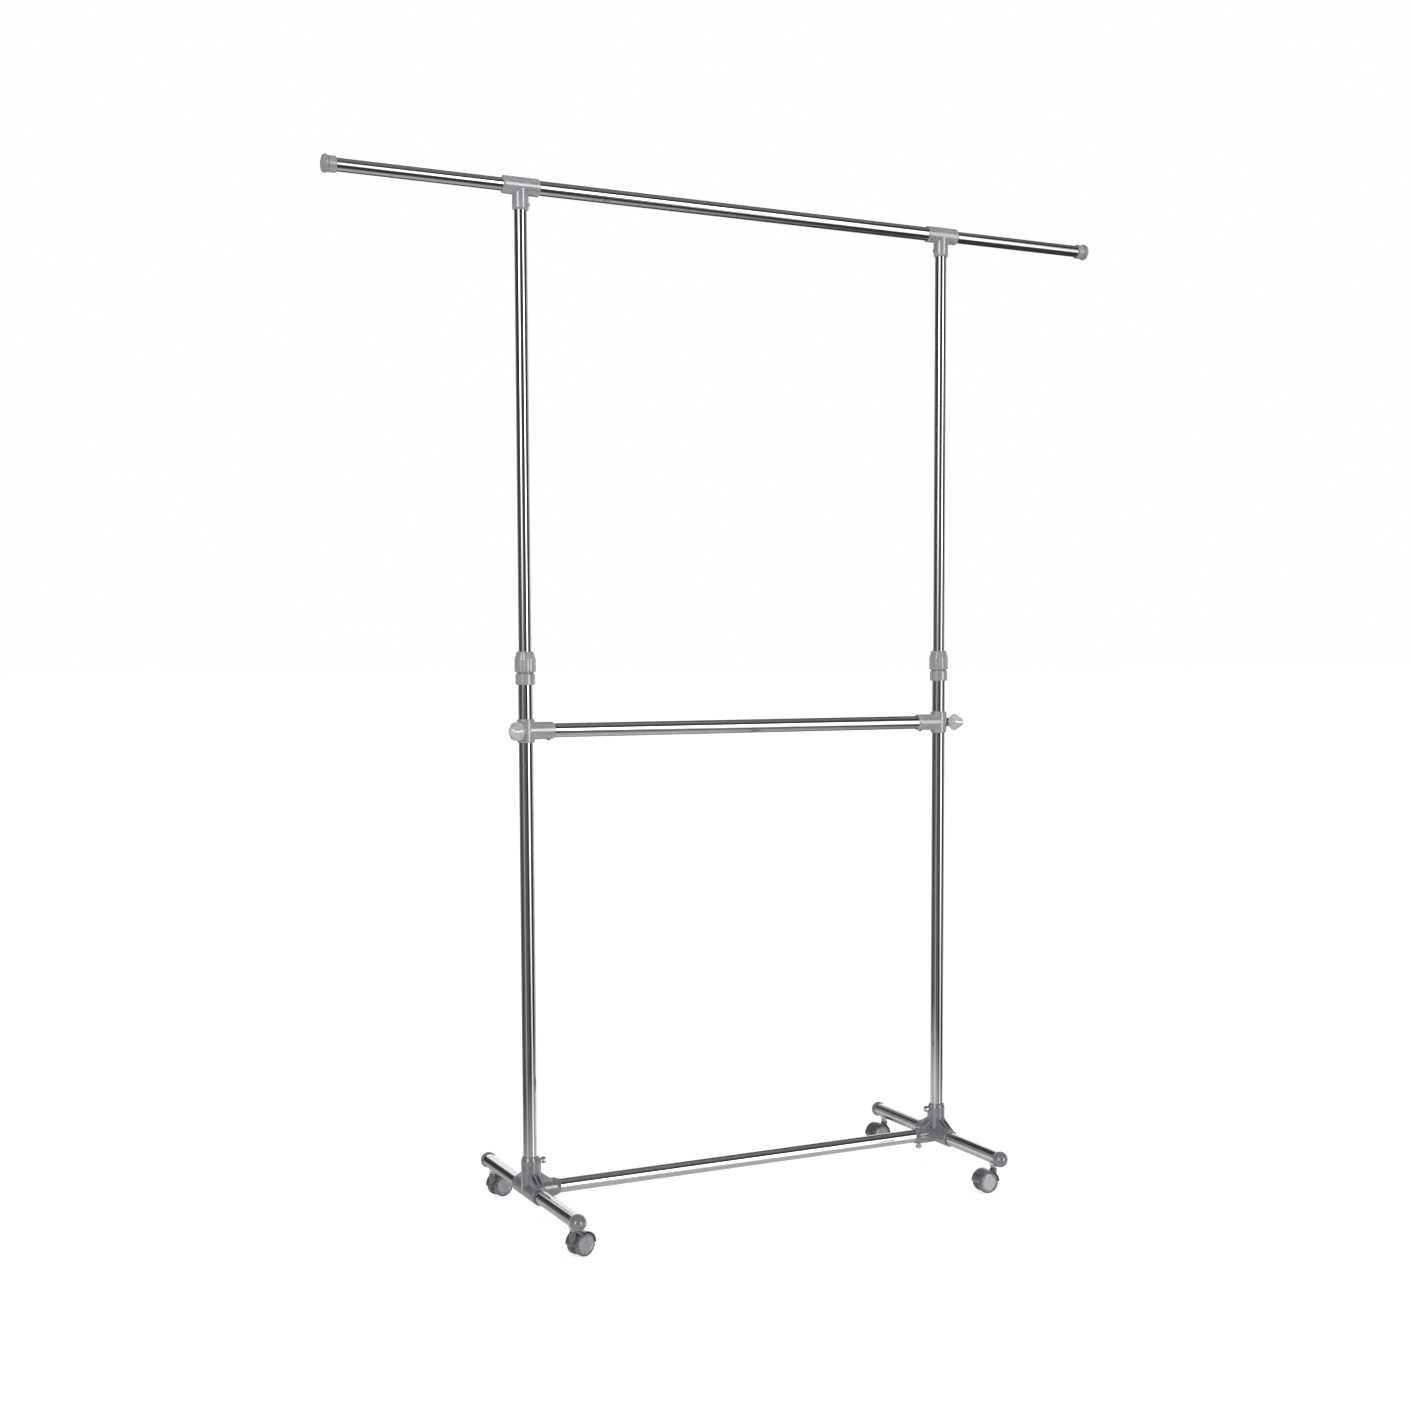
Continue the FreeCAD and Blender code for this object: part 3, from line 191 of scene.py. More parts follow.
def moulded_piece(name, node, voxel, material, body):
    """A soft-edged moulding with the CAD node's shape: its faces fused, then its edges eased."""
    mesh = frame["nodes"][node].data.copy()
    bm = bmesh.new()
    bm.from_mesh(mesh)
    bmesh.ops.remove_doubles(bm, verts=bm.verts, dist=MOULD_WELD)
    bm.to_mesh(mesh)
    bm.free()
    rough = bpy.data.objects.new(name + "_rough", mesh)
    bpy.context.scene.collection.objects.link(rough)
    fuse = rough.modifiers.new("fuse", "REMESH")
    fuse.mode = "VOXEL"
    fuse.voxel_size = voxel * MM
    ease = rough.modifiers.new("ease", "SMOOTH")
    ease.factor = MOULD_EASE
    ease.iterations = MOULD_PASSES
    thin = rough.modifiers.new("thin", "DECIMATE")
    thin.ratio = MOULD_KEEP
    graph = bpy.context.evaluated_depsgraph_get()
    soft = bpy.data.meshes.new_from_object(rough.evaluated_get(graph))
    soft.name = name
    bpy.data.objects.remove(rough)
    soft.polygons.foreach_set("use_smooth", [True] * len(soft.polygons))
    new_object(name, soft, material, body, [node])


# ---- Materials ----

class Nodes:
    """Short calls for building a node tree."""

    def __init__(self, tree):
        self.tree = tree
        tree.nodes.clear()

    def add(self, kind, **settings):
        """A new node with its settings."""
        node = self.tree.nodes.new(kind)
        for key, value in settings.items():
            setattr(node, key, value)
        return node

    def link(self, output, socket):
        self.tree.links.new(output, socket)

    def math(self, operation, *values):
        """A math node on numbers or outputs."""
        node = self.add("ShaderNodeMath", operation=operation)
        for socket, value in zip(node.inputs, values):
            if isinstance(value, (int, float)):
                socket.default_value = value
            else:
                self.link(value, socket)
        return node.outputs[0]

    def noise(self, vector, scale, detail, roughness=0.5):
        """A noise pattern from 0 to 1."""
        node = self.add("ShaderNodeTexNoise")
        node.inputs["Scale"].default_value = scale
        node.inputs["Detail"].default_value = detail
        node.inputs["Roughness"].default_value = roughness
        self.link(vector, node.inputs["Vector"])
        return node.outputs["Fac"]

    def spread(self, value, low, high, to_low=0.0, to_high=1.0):
        """A smooth step: to_low where the value is low or less, to_high where it is high or more."""
        node = self.add("ShaderNodeMapRange", interpolation_type="SMOOTHSTEP")
        node.inputs["From Min"].default_value = low
        node.inputs["From Max"].default_value = high
        node.inputs["To Min"].default_value = to_low
        node.inputs["To Max"].default_value = to_high
        self.link(value, node.inputs["Value"])
        return node.outputs["Result"]

    def mix(self, factor, low, high):
        """A blend of two colours, each a tuple or an output."""
        node = self.add("ShaderNodeMix", data_type="RGBA")
        self.link(factor, node.inputs["Factor"])
        for socket, color in (("A", low), ("B", high)):
            if isinstance(color, tuple):
                node.inputs[socket].default_value = (*color, 1)
            else:
                self.link(color, node.inputs[socket])
        return node.outputs["Result"]

    def stretched(self, vector, scale):
        """Coordinates scaled along each axis."""
        node = self.add("ShaderNodeMapping")
        node.inputs["Scale"].default_value = scale
        self.link(vector, node.inputs["Vector"])
        return node.outputs["Vector"]


def new_material(name):
    """A material with a Principled shader; returns it with its nodes, shader and object coordinates."""
    material = bpy.data.materials.new(name)
    material.use_nodes = True
    nodes = Nodes(material.node_tree)
    output = nodes.add("ShaderNodeOutputMaterial")
    shader = nodes.add("ShaderNodeBsdfPrincipled")
    nodes.link(shader.outputs["BSDF"], output.inputs["Surface"])
    place = nodes.add("ShaderNodeTexCoord").outputs["Object"]
    return material, nodes, shader, place


def bump(nodes, shader, height, distance, strength=1.0):
    """Relief on a shader, a distance in metres deep."""
    node = nodes.add("ShaderNodeBump")
    node.inputs["Strength"].default_value = strength
    node.inputs["Distance"].default_value = distance
    nodes.link(height, node.inputs["Height"])
    nodes.link(node.outputs["Normal"], shader.inputs["Normal"])


# Chrome: tones of its smudges, marks per metre across and along a tube, and their relief in metres
CHROME_DULL = (0.80, 0.765, 0.765)
CHROME_CLEAN = (0.88, 0.86, 0.86)
POLISH_ACROSS = 900.0
POLISH_ALONG = 6.0
POLISH_RELIEF = 0.000004
SMUDGE_SCALE = 9.0


def polished_tube(name, along):
    """Chrome-like tube: long faint polishing lines along it, a few smudges, slightly warm."""
    material, nodes, shader, place = new_material(name)
    scale = [POLISH_ACROSS] * 3
    scale[along] = POLISH_ALONG
    lines = nodes.noise(nodes.stretched(place, scale), scale=1.0, detail=2.0)
    smudges = nodes.noise(place, SMUDGE_SCALE, detail=4.0, roughness=0.6)
    shader.inputs["Metallic"].default_value = 1.0
    nodes.link(nodes.mix(smudges, CHROME_DULL, CHROME_CLEAN), shader.inputs["Base Color"])
    rough = nodes.math("ADD", nodes.spread(smudges, 0.4, 0.8, 0.02, 0.05),
                       nodes.spread(lines, 0.3, 0.7, 0.0, 0.02))
    nodes.link(rough, shader.inputs["Roughness"])
    bump(nodes, shader, lines, POLISH_RELIEF)
    return material


# Moulded plastic: its shiny skin, how much of its tone is left in creases as painted shade, how much paler
# its sharp outer edges are, the scales of its grain and flow marks, and the grain's relief in metres
SKIN_ROUGHNESS = 0.14
SKIN_IOR = 2.2
PAINTED_CREASE_SHADE = 0.2
EDGE_PALING = 0.35
GRAIN_SCALE = 1500.0
GRAIN_RELIEF = 0.00002
FLOW_SCALE = 45.0


def moulded_plastic(name, dark, light, rough):
    """Glossy moulded plastic: fine grain under a shiny skin, faint flow marks, painted shade in creases,
    paler sharp outer edges.
    """
    material, nodes, shader, place = new_material(name)
    grain = nodes.noise(place, GRAIN_SCALE, detail=2.0, roughness=0.6)
    flow = nodes.noise(place, FLOW_SCALE, detail=4.0, roughness=0.55)
    edges = nodes.add("ShaderNodeNewGeometry").outputs["Pointiness"]
    # Sharp outer edges, where pointiness is high, are made paler
    pale_edges = nodes.spread(edges, 0.53, 0.62, 0.0, EDGE_PALING)
    tone = nodes.math("ADD", nodes.spread(flow, 0.3, 0.7, 0.2, 0.7), pale_edges)
    # Painted shade: where pointiness is low, in creases, grooves and joints, the colour drops to a share of
    # the dark tone
    unshaded = nodes.spread(edges, 0.42, 0.485)
    painted_crease_shade = tuple(PAINTED_CREASE_SHADE * value for value in dark)
    color = nodes.mix(unshaded, painted_crease_shade, nodes.mix(tone, dark, light))
    nodes.link(color, shader.inputs["Base Color"])
    nodes.link(nodes.spread(flow, 0.3, 0.75, rough - 0.06, rough + 0.08), shader.inputs["Roughness"])
    shader.inputs["Specular IOR Level"].default_value = 0.5
    shader.inputs["Coat Weight"].default_value = 1.0
    shader.inputs["Coat Roughness"].default_value = SKIN_ROUGHNESS
    shader.inputs["Coat IOR"].default_value = SKIN_IOR
    bump(nodes, shader, grain, GRAIN_RELIEF, 0.6)
    return material


# Plated metal: marks per metre along each axis, how much paler they are, and their relief in metres
MARK_SCALE = (700.0, 700.0, 3000.0)
MARK_PALER = 1.25
MARK_RELIEF = 0.00001


def plated_metal(name, tint, rough):
    """Plated metal with fine turning marks."""
    material, nodes, shader, place = new_material(name)
    marks = nodes.noise(nodes.stretched(place, MARK_SCALE), scale=1.0, detail=2.0)
    shader.inputs["Metallic"].default_value = 1.0
    pale = tuple(min(1.0, MARK_PALER * value) for value in tint)
    nodes.link(nodes.mix(marks, tint, pale), shader.inputs["Base Color"])
    nodes.link(nodes.spread(marks, 0.2, 0.8, rough - 0.05, rough + 0.1), shader.inputs["Roughness"])
    bump(nodes, shader, marks, MARK_RELIEF, 0.4)
    return material


# Plastics by name: the material's name, its darker and lighter tones and its roughness under the skin
PLASTICS = {
    "grey": ("grey_plastic", (0.235, 0.237, 0.25), (0.33, 0.333, 0.35), 0.42),
    "pale": ("pale_grey_plastic", (0.36, 0.365, 0.375), (0.50, 0.505, 0.51), 0.36),
    "dark": ("dark_grey_plastic", (0.115, 0.122, 0.135), (0.165, 0.172, 0.185), 0.4),
    "hood": ("caster_hood_plastic", (0.045, 0.048, 0.055), (0.085, 0.088, 0.095), 0.38),
    "wheel": ("wheel_disc_plastic", (0.19, 0.19, 0.22), (0.27, 0.27, 0.31), 0.45),
    "tyre": ("wheel_tread_plastic", (0.035, 0.037, 0.042), (0.065, 0.067, 0.072), 0.5),
    "nylon": ("natural_nylon", (0.70, 0.69, 0.65), (0.80, 0.79, 0.75), 0.35),
    # The washer is a black part whose near-black tone also paints the shade round the knob's neck
    "washer": ("black_washer", (0.012, 0.012, 0.014), (0.03, 0.03, 0.034), 0.4),
}
MATERIALS = {
    "tube_x": polished_tube("tube_along_x", 0),
    "tube_y": polished_tube("tube_along_y", 1),
    "tube_z": polished_tube("tube_along_z", 2),
    "steel": plated_metal("plated_steel", (0.62, 0.61, 0.60), 0.2),
    "brass": plated_metal("brass", (0.66, 0.47, 0.22), 0.28),
}
MATERIALS.update({key: moulded_plastic(*settings) for key, settings in PLASTICS.items()})


# ---- Tubes ----

TUBE_WALL = 1.0
TUBE_RIM = 0.3


def tube_piece(node, body):
    """A tube with eased rims, in the place of its CAD node."""
    low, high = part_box(node)
    size = high - low
    along = max(range(3), key=lambda axis: size[axis])
    direction = Vector([1.0 if axis == along else 0.0 for axis in range(3)])
    outer = min(size) / 2 / MM
    inner = outer - TUBE_WALL
    half = size[along] / 2 / MM
    profile = [(inner, -half, 0), (outer, -half, TUBE_RIM), (outer, half, TUBE_RIM), (inner, half, 0)]
    place = axis_frame((low + high) / 2, direction)
    material = MATERIALS["tube_" + "xyz"[along]]
    turned_piece(node + "_tube", [(profile, place, True, None)], material, body, [node])


def make_tubes():
    """Every polished tube of the rack."""
    for side in SIDES:
        tube_piece(f"{side}_lower_upright", "base_frame")
        tube_piece(f"{side}_foot_tube", "base_frame")
        tube_piece(f"{side}_upper_upright", "upper_frame")
        tube_piece(f"{side}_extension_tube", f"{side}_extension")
    tube_piece("bottom_rail", "base_frame")
    tube_piece("top_rail", "upper_frame")
    tube_piece("mid_rail", "mid_rail_set")


# ---- Mouldings ----

# Voxel sizes, in millimetres: the smaller the moulding, the finer
BASE_VOXEL = 0.7
TEE_VOXEL = 0.5
HOOD_VOXEL = 0.35


def make_mouldings():
    """Connectors, tees, clamps and hoods, soft-edged as they come from the mould."""
    for side in SIDES:
        moulded_piece(f"{side}_base_moulding", f"{side}_base_connector", BASE_VOXEL, MATERIALS["dark"],
                      "base_frame")
        moulded_piece(f"{side}_tee_moulding", f"{side}_top_tee", TEE_VOXEL, MATERIALS["grey"],
                      "upper_frame")
        moulded_piece(f"{side}_clamp_moulding", f"{side}_rail_clamp", TEE_VOXEL, MATERIALS["grey"],
                      "mid_rail_set")
    for corner in CORNERS:
        moulded_piece(f"{corner}_hood_moulding", f"{corner}_caster_hood", HOOD_VOXEL, MATERIALS["hood"],
                      f"{corner}_caster")


# ---- Locks, caps and knobs ----

def standing_frame(node):
    """A matrix at the middle of the bottom of a node's box, with Z upwards."""
    low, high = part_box(node)
    centre = (low + high) / 2
    return axis_frame((centre.x, centre.y, low.z), (0, 0, 1))


# Twist lock: radii of its bore, its seat on the tube, the ring and the thread, then heights of tops
LOCK_BORE = 11.35
LOCK_SEAT = 12.6
LOCK_RING = 17.0
LOCK_THREAD = 14.4
LOCK_RING_TOP = 19.2
LOCK_TOP = 47.0
# The thread: its pitch and depth, the radius beyond which it cuts, where it starts, and its rows of points
LOCK_PITCH = 2.0
LOCK_THREAD_DEPTH = 0.45
LOCK_CREST = 14.0
LOCK_THREAD_START = 21.5
LOCK_THREAD_ROWS = 78


def lock_ring(side):
    """Fixed ring and split thread of a twist lock."""
    node = f"{side}_lock_body"
    profile = rounded([
        (LOCK_SEAT, 0, 0.3), (15.4, 0, 0.8), (LOCK_RING, 2.0, 1.0), (LOCK_RING, 17.6, 0.8),
        (16.2, 19.0, 0.4), (LOCK_THREAD, LOCK_RING_TOP, 0.2), (LOCK_THREAD, LOCK_TOP, 0.4),
        (LOCK_BORE, LOCK_TOP, 0.2), (LOCK_BORE, LOCK_RING_TOP, 0.1), (LOCK_SEAT, LOCK_RING_TOP, 0.1)])

    def thread(angle, r, z):
        if r < LOCK_CREST or z <= LOCK_THREAD_START:
            return r
        return r - thread_cut(angle, z, LOCK_PITCH, LOCK_THREAD_DEPTH)

    stations = []
    for (r0, z0), (r1, z1) in zip(profile, profile[1:] + profile[:1]):
        stations.append((r0, z0))
        # only the threaded wall rises this far in one line
        if z1 - z0 > LOCK_TOP / 2:
            rise = (z1 - z0) / LOCK_THREAD_ROWS
            stations += [(r0, z0 + rise * row) for row in range(1, LOCK_THREAD_ROWS)]
    bm = bmesh.new()
    lathe(bm, stations, standing_frame(node), True, thread)
    mesh = finish_mesh(bm, node + "_mesh")
    even_normals(new_object(f"{side}_lock_ring", mesh, MATERIALS["grey"], "base_frame", [node]))


# Lock nut: radii of the bores over the thread and over the tube, and the height of the step between them
NUT_SEAT = 14.95
NUT_BORE = 11.4
NUT_STEP = 27.2
# The nut's flutes: their number, depth and sharpness, and the radius where they have faded out
NUT_FLUTES = 9
NUT_FLUTE_DEPTH = 1.1
NUT_FLUTE_SHARPNESS = 0.7
NUT_FLUTE_ROOT = 14.9


def lock_nut(side):
    """Fluted nut: shallow hollows between round ridges that fade out on the taper."""
    node = f"{side}_lock_nut"
    low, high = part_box(node)
    length = (high.z - low.z) / MM
    widest = (high.x - low.x) / 2 / MM
    profile = [(NUT_SEAT, 0, 0.2), (widest - 1.4, 0, 0.8), (widest, 1.8, 1.5), (widest, 12, 0),
               (widest, length - 14, 8.0), (15.2, length - 2.2, 2.0), (13.6, length, 1.0),
               (NUT_BORE, length, 0.3), (NUT_BORE, NUT_STEP, 0.2), (NUT_SEAT, NUT_STEP, 0.2)]

    def flutes(angle, r, z):
        return fluted(angle, r, NUT_FLUTES, NUT_FLUTE_DEPTH, NUT_FLUTE_SHARPNESS,
                      NUT_FLUTE_ROOT, widest - NUT_FLUTE_ROOT)

    turned_piece(f"{side}_twist_nut", [(profile, standing_frame(node), True, flutes)], MATERIALS["grey"],
                 f"{side}_nut", [node])


# End cap: depth and radius of its hollow, radii of the skirt and the disc, then the disc's length and the
# radius and width of the groove before it
CAP_HOLLOW_DEPTH = 17.0
CAP_HOLLOW = 11.1
CAP_SKIRT = 13.5
CAP_RADIUS = 15.0
CAP_DISC = 7.5
CAP_GROOVE_RADIUS = 12.0
CAP_GROOVE = 2.4


def end_cap(side, sign):
    """Domed end cap with a deep groove, darkened by its own shade and by the plastic's painted crease
    shade.
    """
    node = f"{side}_end_cap"
    low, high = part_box(node)
    centre = (low + high) / 2
    start = low.x if sign > 0 else high.x
    place = axis_frame((start, centre.y, centre.z), (sign, 0, 0))
    end = (high.x - low.x) / MM
    disc = end - CAP_DISC
    groove = disc - CAP_GROOVE
    profile = [(0, CAP_HOLLOW_DEPTH, 0), (CAP_HOLLOW, CAP_HOLLOW_DEPTH, 0.4), (CAP_HOLLOW, 0, 0.3),
               (CAP_SKIRT - 0.4, 0, 0.6), (CAP_SKIRT, 1.4, 0.6), (CAP_SKIRT, groove, 0.4),
               (CAP_GROOVE_RADIUS, groove + 0.2, 0.2), (CAP_GROOVE_RADIUS, disc - 0.2, 0.2),
               (CAP_RADIUS, disc, 0.8), (CAP_RADIUS, disc + 2.4, 1.4), (13.9, end - 1.6, 2.2),
               (9.0, end, 6.0), (0, end, 0)]
    turned_piece(f"{side}_domed_cap", [(profile, place, False, None)], MATERIALS["grey"],
                 f"{side}_extension", [node])


# Ball caps: radii of the plug in the tube at its end and its root, and inside the lip round the tube, how
# far behind the ball's middle the plug ends and the tube's rim sits, and the ball's rows of points
BALL_PLUG = 11.3
BALL_PLUG_ROOT = 11.4
BALL_LIP = 12.6
BALL_PLUG_END = 15.0
BALL_SEAT = 0.4
BALL_ROWS = 30


def foot_caps(side):
    """Ball caps on both ends of a foot, each with a plug in the tube and a lip round it."""
    node = f"{side}_foot_caps"
    low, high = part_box(node)
    centre = (low + high) / 2
    radius = (high.x - low.x) / 2 / MM
    reach = math.sqrt(radius ** 2 - BALL_LIP ** 2)
    start = math.asin(-reach / radius)
    profile = [(0, -BALL_PLUG_END, 0), (BALL_PLUG, -BALL_PLUG_END, 0.8), (BALL_PLUG_ROOT, -BALL_SEAT, 0.2),
               (BALL_LIP, -BALL_SEAT, 0.1), (BALL_LIP, -reach, 0)]
    for row in range(1, BALL_ROWS):
        angle = start + (math.pi / 2 - start) * row / BALL_ROWS
        profile.append((radius * math.cos(angle), radius * math.sin(angle), 0))
    profile.append((0, radius, 0))
    parts = []
    for end, y in ((-1, low.y), (1, high.y)):
        place = axis_frame((centre.x, y - end * radius * MM, centre.z), (0, end, 0))
        parts.append((profile, place, False, None))
    turned_piece(f"{side}_ball_caps", parts, MATERIALS["dark"], "base_frame", [node])


# Clamp knob, with heights from the middle of the upright: radius of the stud's hole, the hole's depth, the
# knob's base and nose, and its widest radius
KNOB_HOLE = 3.1
KNOB_HOLE_END = 35.2
KNOB_BASE = 20.4
KNOB_NOSE = 48.0
KNOB_RADIUS = 16.9
# The knob's lobes: their number, the hollows' depth and sharpness, and the radius and span they fade over
KNOB_LOBES = 6
KNOB_HOLLOW = 1.7
KNOB_SHARPNESS = 0.8
KNOB_FADE_ROOT = 6.0
KNOB_FADE_SPAN = 9.0


def clamp_knob(side):
    """Lobed knob, widest near its base and narrowing to a blunt nose."""
    profile = [(0, KNOB_HOLE_END, 0), (KNOB_HOLE, KNOB_HOLE_END, 0.2), (KNOB_HOLE, KNOB_BASE, 0.2),
               (8.6, KNOB_BASE, 1.0), (15.6, 27.0, 2.0), (KNOB_RADIUS, 30.4, 1.6), (15.6, 34.4, 2.5),
               (8.6, 44.0, 3.5), (6.2, 47.2, 1.6), (3.2, KNOB_NOSE, 1.5), (0, KNOB_NOSE, 0)]

    def lobes(angle, r, z):
        return fluted(angle, r, KNOB_LOBES, KNOB_HOLLOW, KNOB_SHARPNESS, KNOB_FADE_ROOT, KNOB_FADE_SPAN)

    place = joint_frame(f"{side}_knob_turn")
    turned_piece(f"{side}_hand_knob", [(profile, place, False, lobes)], MATERIALS["pale"],
                 f"{side}_knob", [f"{side}_clamp_knob"])


# Clamp stud, with heights from the middle of the upright: the washer's faces and radius
WASHER_LOW = 17.1
WASHER_HIGH = 20.3
WASHER_RADIUS = 8.2
# The stud's ends, how far its tips reach, and the radii of tips and thread. The thread's pitch and depth,
# the radius beyond which it cuts, and the stud's rows and columns of points
STUD_START = 13.1
STUD_END = 35.0
STUD_TIP_START = 0.5
STUD_TIP_END = 0.4
STUD_TIP = 2.4
STUD_RADIUS = 3.0
STUD_PITCH = 1.0
STUD_THREAD_DEPTH = 0.45
STUD_CREST = 2.9
STUD_ROWS = 88
STUD_STEPS = 32


def clamp_stud(side):
    """Threaded stud with its black washer, as two pieces; the washer's near-black tone is partly painted
    shade round the knob's neck.
    """
    place = joint_frame(f"{side}_knob_turn")
    washer = [(STUD_RADIUS, WASHER_LOW, 0.2), (8.0, WASHER_LOW, 0.8), (WASHER_RADIUS, 18.7, 0.6),
              (8.0, WASHER_HIGH, 0.8), (STUD_RADIUS, WASHER_HIGH, 0.2)]
    turned_piece(f"{side}_knob_washer", [(washer, place, True, None)], MATERIALS["washer"], f"{side}_knob",
                 [f"{side}_clamp_stud"])
    low = STUD_START + STUD_TIP_START
    high = STUD_END - STUD_TIP_END
    stations = [(0, STUD_START), (STUD_TIP, STUD_START)]
    stations += [(STUD_RADIUS, low + (high - low) * row / STUD_ROWS) for row in range(STUD_ROWS + 1)]
    stations += [(STUD_TIP, STUD_END), (0, STUD_END)]

    def thread(angle, r, z):
        if r < STUD_CREST:
            return r
        return r - thread_cut(angle, z, STUD_PITCH, STUD_THREAD_DEPTH)

    bm = bmesh.new()
    lathe(bm, stations, place, False, thread, STUD_STEPS)
    mesh = finish_mesh(bm, f"{side}_knob_stud")
    new_object(f"{side}_knob_stud", mesh, MATERIALS["steel"], f"{side}_knob", [f"{side}_clamp_stud"])


# ---- Screws ----

# Thumb screws: length and radius of the shank, radii of the neck and the head, heights of their tops
THUMB_SHANK = 7.0
THUMB_SHANK_RADIUS = 2.4
THUMB_NECK_RADIUS = 3.4
THUMB_HEAD = 6.2
THUMB_NECK = 3.4
THUMB_TOP = 8.8
# Teeth round a thumb screw's head: their number and depth, and the radius and height they start from
KNURLS = 28
KNURL_DEPTH = 0.22
KNURL_RADIUS = 5.6
KNURL_START = 3.0
# Small screws: length and radius of the shank, radius and height of the head, columns in a turn
SCREW_SHANK = 5.0
SCREW_SHANK_RADIUS = 1.6
SCREW_HEAD = 3.6
SCREW_HEIGHT = 2.2
SCREW_STEPS = 48
# Width and length of a cross recess, and twice its depth
CROSS_SIZE = (0.7, 3.8, 2.4)


def knurled(angle, r, z):
    """Fine teeth round the edge of a thumb screw's head."""
    if r < KNURL_RADIUS or z < KNURL_START:
        return r
    return r - KNURL_DEPTH * (0.5 - 0.5 * math.cos(KNURLS * angle))


def pair_frames(node, shank, head, across):
    """Seats of a pair of screws: heads towards the middle along X, or else downwards."""
    low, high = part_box(node)
    middle = (low + high) / 2
    frames = []
    for sign in (-1, 1):
        if across:
            x = low.x if sign < 0 else high.x
            frames.append(axis_frame((x - sign * shank * MM, middle.y, middle.z), (-sign, 0, 0)))
        else:
            x = low.x + head * MM if sign < 0 else high.x - head * MM
            frames.append(axis_frame((x, middle.y, high.z - shank * MM), (0, 0, -1)))
    return frames


def thumb_screws(node, name, across):
    """A pair of thumb screws."""
    profile = [(0, -THUMB_SHANK, 0), (THUMB_SHANK_RADIUS, -THUMB_SHANK, 0.4),
               (THUMB_SHANK_RADIUS + 0.1, 0, 0), (THUMB_NECK_RADIUS, 0, 0.2),
               (THUMB_NECK_RADIUS - 0.2, THUMB_NECK, 0.3), (THUMB_HEAD, THUMB_NECK, 0.6),
               (THUMB_HEAD, THUMB_TOP - 1.4, 1.2), (4.8, THUMB_TOP - 0.2, 1.0), (3.0, THUMB_TOP, 0.5),
               (0, THUMB_TOP - 0.6, 0)]
    parts = []
    for place in pair_frames(node, THUMB_SHANK, THUMB_HEAD, across):
        parts.append((profile, place, False, knurled))
    turned_piece(name, parts, MATERIALS["steel"], "base_frame", [node])


def small_screws(node, name, body, across):
    """A pair of pan-headed screws with cross recesses."""
    profile = rounded([(0, -SCREW_SHANK, 0), (SCREW_SHANK_RADIUS, -SCREW_SHANK, 0.3),
                       (SCREW_SHANK_RADIUS, 0, 0), (SCREW_HEAD, 0, 0.2),
                       (SCREW_HEAD, SCREW_HEIGHT * 0.5, 0.8), (SCREW_HEAD * 0.6, SCREW_HEIGHT, 1.2),
                       (0, SCREW_HEIGHT, 0)])
    places = pair_frames(node, SCREW_SHANK, SCREW_HEAD, across)
    bm = bmesh.new()
    for place in places:
        lathe(bm, profile, place, steps=SCREW_STEPS)
    mesh = finish_mesh(bm, name)
    piece = new_object(name, mesh, MATERIALS["steel"], body, [node])
    cut_crosses(piece, places)
    even_normals(piece)


def cut_crosses(piece, places):
    """Cut a cross recess into the top of each small screw."""
    bm = bmesh.new()
    size = Matrix.Diagonal([length * MM for length in CROSS_SIZE] + [1])
    for place in places:
        top = place @ Matrix.Translation((0, 0, SCREW_HEIGHT * MM))
        for turn in (0, math.pi / 2):
            bmesh.ops.create_cube(bm, size=1.0, matrix=top @ Matrix.Rotation(turn, 4, "Z") @ size)
    mesh = bpy.data.meshes.new("cross_cutter")
    bm.to_mesh(mesh)
    bm.free()
    cutter = bpy.data.objects.new("cross_cutter", mesh)
    bpy.context.scene.collection.objects.link(cutter)
    cut = piece.modifiers.new("cut", "BOOLEAN")
    cut.operation = "DIFFERENCE"
    cut.solver = "EXACT"
    cut.use_self = True
    cut.object = cutter
    graph = bpy.context.evaluated_depsgraph_get()
    result = bpy.data.meshes.new_from_object(piece.evaluated_get(graph))
    piece.modifiers.remove(cut)
    old = piece.data
    piece.data = result
    result.name = piece.name
    bpy.data.meshes.remove(old)
    bpy.data.objects.remove(cutter)


def make_screws():
    """Every pair of screws on the outside of the rack."""
    thumb_screws("upright_screws", "upright_thumb_screws", True)
    thumb_screws("rail_screws", "rail_thumb_screws", False)
    small_screws("tee_screws", "tee_leg_screws", "upper_frame", True)
    small_screws("clamp_socket_screws", "socket_screws", "mid_rail_set", False)


# ---- Casters ----

# Stem: its radius, then the collar's radius and the heights of its bottom and top above the floor
STEM_RADIUS = 4.0
COLLAR_RADIUS = 6.0
COLLAR_BOTTOM = 45.2
COLLAR_TOP = 48.6


def caster_stem(corner):
    """Bright swivel stem with its collar, with heights from the floor."""
    node = f"{corner}_caster_stem"
    low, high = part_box(node)
    centre = (low + high) / 2
    place = axis_frame((centre.x, centre.y, 0), (0, 0, 1))
    top = high.z / MM
    bottom = low.z / MM
    profile = [(0, bottom, 0), (STEM_RADIUS, bottom, 0.4), (STEM_RADIUS, COLLAR_BOTTOM, 0.2),
               (COLLAR_RADIUS - 0.4, COLLAR_BOTTOM, 0.3), (COLLAR_RADIUS, COLLAR_BOTTOM + 0.8, 0.5),
               (COLLAR_RADIUS, COLLAR_TOP - 0.8, 0.5), (COLLAR_RADIUS - 0.8, COLLAR_TOP, 0.4),
               (STEM_RADIUS, COLLAR_TOP, 0.2), (STEM_RADIUS, top - 1.2, 0.5), (3, top, 0.4), (0, top, 0)]
    turned_piece(f"{corner}_swivel_stem", [(profile, place, False, None)], MATERIALS["steel"],
                 f"{corner}_caster", [node])


